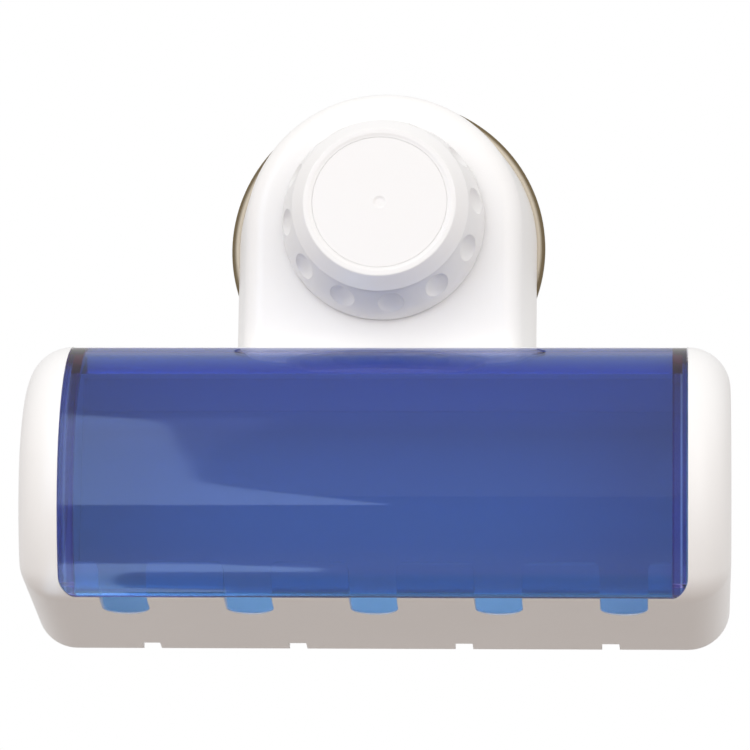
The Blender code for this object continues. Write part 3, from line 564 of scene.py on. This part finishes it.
def cheekInset(x):
    share = max(0, abs(x) - (box["width"] / 2 - box["cheekRound"])) / box["cheekRound"]
    return box["cheekRound"] * (1 - math.sqrt(max(0, 1 - share * share)))


def angleAtDepth(depth, inset):
    return math.degrees(math.acos((depth - box["topCentre"][0]) / (box["topRadius"] - inset)))


def depthAtHeight(height, inset):
    radius = box["lowRadius"] - inset
    centre = box["lowCentre"]
    return centre[0] + math.sqrt(radius**2 - (height - centre[1]) ** 2)


def roundedOutline(half, bottom, top, lowRadius, topRadius=0.0, steps=10):
    points = []
    corners = (
        (half, bottom, lowRadius, -90),
        (half, top, topRadius, 0),
        (-half, top, topRadius, 90),
        (-half, bottom, lowRadius, 180),
    )
    for x, z, radius, start in corners:
        if radius <= 0:
            points.append((x, z))
            continue
        centre = (x - math.copysign(radius, x), z + (radius if z == bottom else -radius))
        points += arcPoints(centre, radius, start, start + 90, steps)
    return points


# Housing

housing = {
    "archRadius": 43.7,
    "archDepth": 30,
    "archRear": 2.6,
    "archDraft": 8.8,
    "archRound": 6,
    "ring": 36.5,
    "sleeve": 9,
    "sleeveEnd": 18,
    "sleeveHex": 11.7,
    "hexTurn": 20,
    "studHole": 5,
    "slots": 5,
    "pitch": 35,
    "slotWidth": 13.3,
    "slotReach": 15.5,
    "slotTaper": 5,
    "slotFront": 70,
    "lip": 9.5,
    "flare": 2.5,
    "drains": (-66, -23.9, 23.9, 66),
    "drainWidth": 5.3,
    "drainLength": 5.6,
    "coverEdge": 1.3,
    "boss": 4.2,
    "bossLength": 24,
    "screwHole": 1.65,
    "screwLength": 12,
    "screwInset": (5.725, 13.5),
    "pinReach": 3.3,
    "pinBoss": lid["roll"] - 1.2,
}
slotPlaces = [(i - 2) * housing["pitch"] for i in range(housing["slots"])]
slotEnd = lidEdge[0] - housing["slotReach"]
lipTop = lidEdge[1] + housing["lip"]
screwSide = box["width"] / 2 - housing["screwInset"][0]
screwDrop = housing["screwInset"][1]
screwHeights = (-box["top"] - screwDrop, screwDrop - box["bottom"])
screwPlaces = [(side * screwSide, height) for height in screwHeights for side in (-1, 1)]


def makeArch(name, inset, rear, front, bottom):
    shape = housing
    bm = bmesh.new()
    radius = shape["archRound"] - inset
    draft = math.radians(shape["archDraft"])
    sideEnd = front - radius * (1 - math.sin(draft))
    layers = [(rear, (rear - shape["archRear"]) * math.tan(draft))]
    for i in range(15):
        turn = draft + (math.pi / 2 - draft) * i / 14
        drawn = (sideEnd - shape["archRear"]) * math.tan(draft)
        drawn += radius * (math.cos(draft) - math.cos(turn))
        layers.append((front - radius * (1 - math.sin(turn)), drawn))
    rings = []
    for depth, drawn in layers:
        reach = shape["archRadius"] - inset - drawn
        outline = arcPoints((0, 0), reach, 0, 180, 96) + [(-reach, bottom), (reach, bottom)]
        rings.append([alongY(u, v, depth) for u, v in outline])
    addSkin(bm, rings)
    return newObject(name, bm)


def makeBoxBlank():
    bm = bmesh.new()
    flat = box["width"] / 2 - box["cheekRound"]
    places = [flat + box["cheekRound"] * math.sin(math.pi / 2 * i / 14) for i in range(15)]
    rings = []
    for x in [-p for p in reversed(places)] + places:
        outline = boxOutline(cheekInset(x), box["rear"])
        rings.append([alongX(u, v, x) for u, v in outline])
    addSkin(bm, rings)
    return newObject("housingShell", bm)


def makeCheekHollows():
    bm = bmesh.new()
    inner, outer = openHalf + box["wall"], box["width"] / 2 - box["wall"]
    for side in (-1, 1):
        rings = []
        for i in range(11):
            x = inner + (outer - inner) * math.sin(math.pi / 2 * i / 10)
            outline = boxOutline(cheekInset(x) + box["wall"], box["pocket"] - 1)
            rings.append([alongX(u, v, side * x) for u, v in outline])
        addSkin(bm, rings)
    return newObject("cheekHollows", bm)


def bayOutline():
    wall = box["wall"]
    rear, ceiling = box["pocket"] - 1, -box["top"] - wall
    end = -box["top"] - box["flange"]
    strip = -box["top"] - box["strip"]
    front = frontPath(wall, angleAtDepth(flangeFront, wall), floorEnd)
    turnedEdge = arcPoints((flangeFront - wall / 2, end + wall / 2), wall / 2, 0, -180, 10)
    back = [(flangeFront - wall, ceiling), (box["panel"], ceiling), (box["panel"], strip)]
    return [(rear, floorHeight(rear, wall)), *front[::-1], *turnedEdge, *back, (rear, strip)]


def makeLidSpace():
    inset, outside = lid["wall"] + box["lidGap"], -3
    end = lid["edgeAngle"] - math.degrees(box["lidGap"] / box["cornerRadius"])
    inner = frontPath(inset, angleAtDepth(flangeFront, inset), end)
    outer = frontPath(outside, angleAtDepth(flangeFront, outside), end)
    space = prism("lidSpace", inner + outer[::-1], alongX, -openHalf, openHalf)
    low = arcPoints(box["cornerCentre"], box["cornerRadius"], end, 0, 1)[0][1]
    window = roundedOutline(openHalf + 0.01, low, 0, lid["corner"] + box["lidGap"])
    tool = prism("lidWindow", window, alongY, lid["hinge"][0] / 2, box["clear"])
    cut(space, tool, "INTERSECT")
    return space


def lipOutline():
    outer = lid["wall"] + box["lidGap"]
    inner = outer + box["wall"]
    ramp = slotEnd + 2
    low = lid["edgeAngle"] - math.degrees(box["lidGap"] / box["cornerRadius"])
    points = [(ramp, floorHeight(ramp, 1))]
    points += [p for p in frontPath(inner, 0, floorEnd)[::-1] if p[1] < lipTop - 1]
    crown = depthAtHeight(lipTop - 1, outer) - box["wall"] / 2
    points += arcPoints((crown, lipTop - 1), 1, 180, 0, 8)
    points += [p for p in frontPath(outer, 0, low) if p[1] < lipTop - 1.2]
    radius = box["cornerRadius"] - 1
    return points + arcPoints(box["cornerCentre"], radius, low - 6, floorEnd, 3)


def coverOutline(clearance):
    inset = housing["coverEdge"] + clearance
    radius = box["cheekRound"] - inset
    half = box["width"] / 2 - inset
    return roundedOutline(half, -box["bottom"] + inset, -box["top"] - inset, radius, radius)


def addBores(bm):
    shape = housing
    for x, z in screwPlaces:
        hole = arcPoints((x, z), shape["screwHole"], 0, 345, 23)
        addPrism(bm, hole, alongY, box["pocket"] - 1, box["pocket"] + shape["screwLength"])
    for side in (-1, 1):
        ends = sorted((side * (openHalf - 1), side * (openHalf + shape["pinReach"] + 0.3)))
        addPrism(bm, arcPoints(lid["hinge"], lid["bore"], 0, 350, 35), alongX, *ends)
    across = shape["sleeveHex"] / math.sqrt(3)
    hexagon = arcPoints((0, 0), across, shape["hexTurn"], shape["hexTurn"] + 300, 5)
    addPrism(bm, hexagon, alongY, shape["sleeveEnd"] - 1, shape["archDepth"] - box["wall"])


def addBrushOpenings(bm):
    shape = housing
    radius = shape["slotWidth"] / 2
    for x in slotPlaces:
        outline = arcPoints((x, slotEnd + radius), radius, 180, 360, 28)
        front = shape["slotFront"]
        outline += [(x + radius, front), (x - radius, front)]
        sloped = [(u, v - shape["slotTaper"] if v < front else v) for u, v in outline]
        floor = floorHeight(slotEnd, 0)
        rings = [(outline, -box["bottom"] - 5), (outline, floor + 0.5)]
        rings += [(sloped, floor + box["wall"] - 0.1), (sloped, lipTop - shape["lip"] / 2)]
        addSkin(bm, [[alongZ(u, v, w) for u, v in ring] for ring, w in rings])


def addLipGaps(bm):
    shape = housing
    half, flare = shape["slotWidth"] / 2, shape["flare"]
    for x in slotPlaces:
        right = arcPoints((x + half + flare, lipTop - flare), flare, 180, 90, 12)
        left = [(2 * x - u, v) for u, v in reversed(right)]
        outline = [(x - half, lipTop - shape["lip"]), (x + half, lipTop - shape["lip"])] + right
        outline += [(right[-1][0], lipTop + 5), (left[0][0], lipTop + 5)] + left
        addPrism(bm, outline, alongY, slotEnd + half + 1, shape["slotFront"])


def addDrains(bm):
    shape = housing
    half, high = shape["drainWidth"] / 2, -box["bottom"] + box["wall"] + 0.2
    for x in shape["drains"]:
        outline = [(x - half, -box["bottom"] - 2), (x + half, -box["bottom"] - 2)]
        outline += [(x + half - 0.5, high), (x - half, high)]
        addPrism(bm, outline, alongY, box["rear"] - 2, box["rear"] + shape["drainLength"])


def made(name, *makers):
    bm = bmesh.new()
    for maker in makers:
        maker(bm)
    return newObject(name, bm)


def makeHousing():
    shape = housing
    shell = makeBoxBlank()
    wall, rear, front = box["wall"], shape["archRear"], shape["archDepth"]
    cut(shell, makeArch("arch", 0, rear, front, -box["top"] - wall / 2), "UNION")
    cut(shell, makeArch("archHollow", wall, rear - 1, front - wall, -box["top"] + wall / 4))

    def addRing(bm):
        into = front - wall / 2
        ring = shape["ring"]
        ringProfile = [(ring - wall, rear), (ring, rear), (ring, into), (ring - wall, into)]
        addTurned(bm, ringProfile, 110, start=1.3)
        sleeve = [(0, shape["sleeveEnd"]), (shape["sleeve"], shape["sleeveEnd"])]
        addTurned(bm, sleeve + [(shape["sleeve"], into), (0, into)], 48)

    def addBosses(bm):
        for place in screwPlaces:
            end = box["pocket"] + shape["bossLength"]
            boss = arcPoints(place, shape["boss"], 0, 350, 35)
            addPrism(bm, boss, alongY, box["pocket"], end)
        for side in (-1, 1):
            ends = sorted((side * (openHalf + 1), side * (openHalf + shape["pinReach"] + 1.3)))
            boss = arcPoints(lid["hinge"], shape["pinBoss"], 0, 345, 23)
            addPrism(bm, boss, alongX, *ends)

    cut(shell, made("ring", addRing), "UNION")
    cut(shell, prism("bay", bayOutline(), alongX, -openHalf, openHalf))
    cut(shell, makeLidSpace())
    cut(shell, prism("lip", lipOutline(), alongX, -lipHalf, lipHalf), "UNION")
    cut(shell, makeCheekHollows())
    cut(shell, prism("coverPocket", coverOutline(0), alongY, box["rear"] - 2, box["pocket"]))
    cut(shell, made("bosses", addBosses), "UNION")
    cut(shell, made("bores", addBores))
    hole = [(0, shape["sleeveEnd"]), (shape["studHole"], shape["sleeveEnd"])]
    cut(shell, turned("studHole", hole + [(shape["studHole"], front + 1), (0, front + 1)], 48))
    cut(shell, made("brushOpenings", addBrushOpenings))
    cut(shell, made("lipGaps", addLipGaps))
    cut(shell, made("drains", addDrains))
    dress(shell, "housing", "holder", "white_plastic", white)


makeHousing()
print("holder: housing made")

# Rear cover with its ribs and pad seats, its screws, and the pads that meet the wall

cover = {
    "gap": 0.3,
    "joint": 0.06,  # between the panel and the box round it
    "wall": 2,
    "ribs": 6,
    "rib": 1.2,
    "padRadius": 6,
    "pads": (-62, 62),
    "padRaise": 17,
    "padBack": 4.5,
    "padSeat": 1.3,
    "padFace": [
        (0, 0.15), (1.6, 0.15), (1.75, 0.5), (2.25, 0.5), (2.4, 0.1), (4.0, 0.1), (4.15, 0.5),
        (4.65, 0.5), (4.8, 0),
    ],
    "padRound": 0.6,
    "ribPitch": 28,
}
padPlaces = [(x, -box["bottom"] + cover["padRaise"]) for x in cover["pads"]]


def makeRearCover():
    shape = cover
    gap, wall = shape["gap"], shape["wall"]
    rear = box["rear"] + gap
    plate = prism("rearCover", coverOutline(gap), alongY, rear, rear + wall)
    half = openHalf - shape["joint"]
    top = -box["top"] - box["strip"] - shape["joint"]
    low = floorHeight(box["panel"], box["wall"]) + shape["joint"]
    panel = roundedOutline(half, low, top, 0)
    cut(plate, prism("panel", panel, alongY, rear + wall / 2, box["panel"]), "UNION")
    skin = box["panel"] - wall
    recess = roundedOutline(half - wall, low + wall, top - wall, 0)
    cut(plate, prism("recess", recess, alongY, rear - 1, skin))

    def addRibs(bm):
        for i in range(shape["ribs"]):
            x = (i - (shape["ribs"] - 1) / 2) * shape["ribPitch"]
            left, right = x - shape["rib"] / 2, x + shape["rib"] / 2
            outline = [(left, low + 1), (right, low + 1), (right, top - 1), (left, top - 1)]
            addPrism(bm, outline, alongY, rear + 0.2, skin + wall / 2)

    def addSeats(bm):
        for place in padPlaces:
            outline = arcPoints(place, shape["padRadius"] + gap + 1.5, 0, 352, 44)
            addPrism(bm, outline, alongY, shape["padBack"] - shape["padSeat"], skin + wall / 2)

    def addHoles(bm):
        for place in padPlaces:
            outline = arcPoints(place, shape["padRadius"] + gap, 0, 352, 44)
            addPrism(bm, outline, alongY, 0, shape["padBack"] + gap)
        for place in screwPlaces:
            outline = arcPoints(place, housing["screwHole"], 0, 345, 23)
            addPrism(bm, outline, alongY, 0, box["pocket"] + 1)

    cut(plate, made("ribs", addRibs), "UNION")
    cut(plate, made("seats", addSeats), "UNION")
    cut(plate, made("holes", addHoles))
    dress(plate, "rear_cover", "holder", "cover_plastic", coverWhite)


screw = {
    "head": 2.8,
    "height": 1.8,
    "shank": 1.35,
    "core": 1.05,
    "pitch": 1.1,
    "dome": 0.55,  # share of the head's height
    "plain": 0.6,  # shank without thread
    "crest": 0.35,
    "runOut": 0.1,
    "tip": 1.2,
    "cross": (0.42, 1.55, 1.1),  # half width, reach and depth of the cross recess
}


def makeCoverScrews():
    shape = screw
    back, core, pitch = box["rear"], shape["core"], shape["pitch"]
    top = back - shape["height"]
    tip = back + housing["screwLength"]
    dome = [(0, top)]
    for i in range(1, 9):
        turn = math.pi / 2 * i / 8
        drop = shape["height"] * shape["dome"] * (1 - math.cos(turn))
        dome.append((shape["head"] * math.sin(turn), top + drop))
    shank = [(shape["head"], back), (shape["shank"], back)]
    depth = back + shape["plain"]
    while depth < tip - 2:
        shank += [(core, depth + shape["runOut"]), (core, depth + pitch - shape["crest"])]
        shank.append((shape["shank"], depth + pitch))
        depth += pitch
    shank += [(core, depth + shape["runOut"]), (core, tip - shape["tip"]), (0, tip)]
    for number, place in enumerate(screwPlaces, 1):
        body = turned(f"coverScrew{number}", dome + shank, 40, place)

        thin, long, deep = shape["cross"]
        for a, b in ((thin, long), (long, thin)):
            outline = [(-a, -b), (a, -b), (a, b), (-a, b)]
            outline = [(u + place[0], v + place[1]) for u, v in outline]
            cut(body, prism("cross", outline, alongY, 0, top + deep))
        dress(body, f"cover_screw_{number}", "holder", "steel", steel)


def makeWallPads():
    shape = cover
    for name, place in zip(("left", "right"), padPlaces):
        reach, edge = shape["padRadius"], shape["padRound"]
        profile = shape["padFace"] + [(reach - edge, 0)]
        profile += arcPoints((reach - edge, edge), edge, -90, 0, 6)[1:]
        profile += [(reach, shape["padBack"]), (0, shape["padBack"])]
        pad = turned(f"wallPad_{name}", profile, 64, place)
        dress(pad, f"wall_pad_{name}", "holder", "pad_rubber", padRubber)


makeRearCover()
makeCoverScrews()
makeWallPads()
print("holder: rear cover, screws and pads made")

# Lid


def lidPath(inset):
    roll = arcPoints(lid["hinge"], lid["roll"] - inset, 180, lid["hingeAngle"], 24)
    return roll[:-1] + frontPath(inset, lid["hingeAngle"], lid["edgeAngle"])


def makeLid():
    shape = lid
    outline = lidPath(0) + lidPath(shape["wall"])[::-1]
    shell = prism("clearLid", outline, alongX, -lidHalf, lidHalf)
    bead = arcPoints(shape["hinge"], shape["roll"] - 0.01, 2, 354.5, 47)
    cut(shell, prism("bead", bead, alongX, 0.002 - lidHalf, lidHalf - 0.002), "UNION")
    flangeLow = lidEdge[1] + housing["lip"] / 2
    flange = [p for p in lidPath(shape["wall"] / 2) if p[1] > flangeLow]
    rimEnd = shape["edgeAngle"] + shape["rimLift"]
    rim = frontPath(shape["wall"] / 2, shape["hingeAngle"], rimEnd)
    rim += frontPath(shape["rim"][1], shape["hingeAngle"], rimEnd)[::-1]
    for side in (-1, 1):
        ends = sorted((side * (lidHalf - shape["flange"]), side * (lidHalf - 0.004)))
        cut(shell, prism("flange", flange, alongX, *ends), "UNION")
        ends = sorted((side * (lidHalf - shape["rim"][0]), side * (lidHalf - 0.006)))
        cut(shell, prism("rim", rim, alongX, *ends), "UNION")
        ends = sorted((side * (lidHalf - shape["ear"] * 0.9), side * (lidHalf + 1)))
        bore = arcPoints(shape["hinge"], shape["bore"], 0, 345, 23)
        cut(shell, prism("bore", bore, alongX, *ends))
    window = roundedOutline(lidHalf + 0.01, lidEdge[1] - 0.01, 0, shape["corner"], steps=12)
    tool = prism("lidCorners", window, alongY, shape["hinge"][0] / 2, box["clear"])
    cut(shell, tool, "INTERSECT")
    edges = shell.modifiers.new("edges", "BEVEL")
    edges.width = shape["edgeRound"] * mm
    edges.segments = 2
    edges.limit_method = "ANGLE"
    edges.angle_limit = math.radians(50)
    settle(shell)
    bm = bmesh.new()
    bm.from_mesh(shell.data)
    for side in (-1, 1):
        geometry = bm.verts[:] + bm.edges[:] + bm.faces[:]
        joint = Vector((side * (lidHalf - shape["ear"]) * mm, 0, 0))
        bmesh.ops.bisect_plane(bm, geom=geometry, plane_co=joint, plane_no=(1, 0, 0))
    bm.to_mesh(shell.data)
    bm.free()
    dress(shell, "lid", "lid", "blue_clear_plastic", blueClear, blueEnd, blueEdge)
    corner = box["cornerCentre"]
    lowest = shape["edgeAngle"] + shape["darkEdge"]
    for face in shell.data.polygons:  # ends and edges get finishes of their own: painted shade and light lines on the ends, painted shade on the edges
        across = abs(face.center.x) / mm
        depth, height = -face.center.y / mm - corner[0], face.center.z / mm - corner[1]
        atEnd = across > lidHalf - shape["ear"]
        low = depth > 0 and math.degrees(math.atan2(height, depth)) < lowest
        rounded = across > lidHalf - shape["darkSide"] and abs(face.normal.x) < 0.95
        face.material_index = 2 if rounded or low else int(atEnd)


makeLid()
print("holder: lid made")

# Knob and its cap

knob = {
    "base": 30.6,
    "face": 52,
    "baseRadius": 29.3,
    "shoulder": 25.4,
    "faceRadius": 22.2,
    "wall": 2.2,
    "band": 4.1,
    "step": 0.3,
    "bulge": 1.9,
    "edge": 0.7,
    "bearing": 31.8,
    "nutSeat": 35.2,
    "nutHex": 13.6,
    "floor": 49.1,
    "bore": 4.65,
    "boss": 10.1056,
    "recess": 19.3,
    "ledge": 0.28,
    "dimples": 12,
    "dimpleTurn": 6.6,
    "dimpleFront": 10,
    "dimpleSize": (7.4, 10.2, 1.5),  # width, length and depth
    "rib": 1.2,
    "ribStart": 5.35,
    "ribInto": 1.1,  # how far a rib reaches into the skin
    "foot": 0.5,
    "slopeIn": 1.3,  # width of the soft step down to the cap
}


def knobRadius(depth):
    step = knob["face"] - knob["band"]
    top = knob["shoulder"] - knob["step"]
    share = (step - depth) / (step - knob["base"])
    bend = knob["bulge"] * share + (1 - knob["bulge"]) * share**2
    return top + (knob["baseRadius"] - top) * bend


def addDimples(bm):
    shape = knob
    width, length, deep = shape["dimpleSize"]
    middle = shape["face"] - shape["dimpleFront"]
    near, far = middle - length / 3, middle + length / 3
    slant = math.atan2(knobRadius(near) - knobRadius(far), far - near)
    flat = math.sqrt(0.75)
    chord = knobRadius(middle) - width**2 / 8 / knobRadius(middle)
    for i in range(shape["dimples"]):
        ball = bmesh.ops.create_uvsphere(bm, u_segments=48, v_segments=28, radius=1)["verts"]
        half = (2 * deep * mm, length / 2 / flat * mm, width / 2 / flat * mm)
        size = Matrix.Diagonal((*half, 1))
        place = Matrix.Translation(Vector((chord + deep, -middle, 0)) * mm)
        angle = 360 * i / shape["dimples"] - shape["dimpleTurn"]
        turn = Matrix.Rotation(math.radians(angle), 4, "Y")
        lean = Matrix.Rotation(-slant, 4, "Z")
        bmesh.ops.transform(bm, matrix=turn @ place @ lean @ size, verts=ball)


def addKnobRibs(bm):
    shape = knob
    low = shape["base"] + shape["ribStart"]
    web = shape["floor"] - shape["wall"]
    inner, into = shape["boss"] - 1, shape["ribInto"]
    outline = [(inner, low), (knobRadius(low) - into, low)]
    outline += [(knobRadius(web) - into, web + 0.5), (inner, web + 0.5)]
    for i in range(6):
        start = len(bm.verts)
        addPrism(bm, outline, alongZ, -shape["rib"] / 2, shape["rib"] / 2)
        bm.verts.ensure_lookup_table()
        turn = Matrix.Rotation(math.radians(60 * i + 30), 4, "Y")
        bmesh.ops.transform(bm, matrix=turn, verts=bm.verts[start:])


def makeKnob():
    shape = knob
    step = shape["face"] - shape["band"]
    start = shape["base"] + shape["foot"]
    web = shape["floor"] - shape["wall"]
    side = [start + (step - start) * i / 24 for i in range(25)]
    inside = [web + (start - web) * i / 12 for i in range(13)]
    slope = math.degrees(math.atan2(shape["shoulder"] - shape["faceRadius"], shape["band"]))
    centre = (shape["faceRadius"] - shape["edge"], shape["face"] - shape["edge"])
    profile = [(shape["bore"], shape["bearing"]), (shape["boss"], shape["bearing"])]
    profile += [(shape["boss"], web)]
    profile += [(knobRadius(depth) - shape["wall"], depth) for depth in inside]
    profile += [(shape["baseRadius"] - shape["wall"], shape["base"])]
    foot = knobRadius(start)
    profile += [(foot - 0.4, shape["base"]), (foot - 0.1, start - 0.25)]
    profile += [(knobRadius(depth), depth) for depth in side]
    shoulder = shape["shoulder"]
    profile += [(shoulder - 0.08, step + 0.04), (shoulder, step + shape["step"])]
    profile += arcPoints(centre, shape["edge"], slope, 90, 8)
    for i in range(7):  # soft step down to the cap
        share = i / 6
        drop = shape["ledge"] * (0.5 - 0.5 * math.cos(math.pi * share))
        profile.append((shape["recess"] + shape["slopeIn"] - share, shape["face"] - drop))
    profile += [(shape["recess"], shape["face"] - shape["ledge"])]
    profile += [(shape["recess"], shape["floor"]), (shape["bore"], shape["floor"])]
    body = turned("knobShell", profile, 160)
    cut(body, made("knobRibs", addKnobRibs), "UNION")
    across = shape["nutHex"] / math.sqrt(3)
    hexagon = arcPoints((0, 0), across, housing["hexTurn"], housing["hexTurn"] + 300, 5)
    cut(body, prism("nutPocket", hexagon, alongY, shape["nutSeat"], shape["floor"] + 1))
    cut(body, made("dimples", addDimples))
    dress(body, "knob", "knob", "knob_plastic", knobWhite, angle=28)


cap = {"radius": 19.29, "front": 51.71, "back": 50, "rim": 0.6, "gate": 2, "gateDepth": 0.3}


def makeKnobCap():
    shape = cap
    back, front, radius = shape["back"], shape["front"], shape["radius"]
    profile = [(0, back), (radius - 2, back), (radius - 2, back - shape["rim"])]
    profile += [(radius, back - shape["rim"])]
    profile += arcPoints((radius - 0.1, front - 0.1), 0.1, 0, 90, 4)
    for i in range(9):  # gate mark, a shallow sunk spot
        share = i / 8
        drop = shape["gateDepth"] * (0.5 - 0.5 * math.cos(math.pi * share))
        profile.append((shape["gate"] * (1 - share * 0.45), front - drop))
    sunk = front - shape["gateDepth"]
    profile += [(shape["gate"] * 0.4, sunk), (0, sunk)]
    body = turned("knobCap", profile, 144)
    dress(body, "knob_cap", "knob", "knob_plastic", knobWhite)


makeKnob()
makeKnobCap()
print("holder: knob made")

# Suction disc, whose middle the stud pulls out while its rim stays on the wall

disc = {
    "radius": 46.1,
    "rim": 2.3,
    "hollow": 3.4,
    "land": 7,
    "shoulder": 32.5,
    "neck": 13.2,
    "neckTop": 13.2,
    "collar": 6.7009,
    "hubTop": 10,
    "hubRadius": 10.8,
    "hubBase": 5.7,
    "hubGap": 0.3,
    "underRound": 0.5,
    "rimRound": 0.8,
    "neckRound": 0.6,
    "bend": (2.8, 8.5),  # depths between which the disc gives
}


def makeDisc():
    shape = disc
    land = shape["radius"] - shape["land"]
    profile = []
    for i in range(25):
        share = i / 24
        profile.append((land * share, shape["hollow"] * (1 - share**2)))
    radius, rim = shape["radius"], shape["rim"]
    under, over, rounding = shape["underRound"], shape["rimRound"], shape["neckRound"]
    profile += arcPoints((radius - under, under), under, -90, 0, 5)
    profile += arcPoints((radius - over, rim - over), over, 0, 90, 6)
    inner = shape["neck"] + 1
    for i in range(21):
        share = i / 20
        rise = (shape["hubTop"] - rim) * share**2
        profile.append((shape["shoulder"] + (inner - shape["shoulder"]) * share, rim + rise))
    top = shape["neckTop"]
    profile += arcPoints((shape["neck"] - rounding, top - rounding), rounding, 0, 90, 5)
    hub, hubTop = shape["hubRadius"], shape["hubTop"] + shape["hubGap"]
    profile += [(shape["collar"], top), (shape["collar"], hubTop), (hub, hubTop)]
    profile += [(hub, shape["hubBase"]), (0, shape["hubBase"])]
    body = turned("discSkin", profile, 144)
    dress(body, "suction_disc", None, "disc_rubber", discRubber)
    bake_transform(body)


makeDisc()
print("holder: suction disc made")

# Small pieces that keep the shape of the frame

nodeFinish = {
    "hinge_pin_left": steel,
    "hinge_pin_right": steel,
    "thrust_washer": nylon,
    "knob_nut": steel,
    "stud_hub": nylon,
    "pull_stud": steel,
    "stop_washer": steel,
    "stop_screw": steel,
}
for node, finish in nodeFinish.items():
    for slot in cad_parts[node].material_slots:
        slot.material = finish
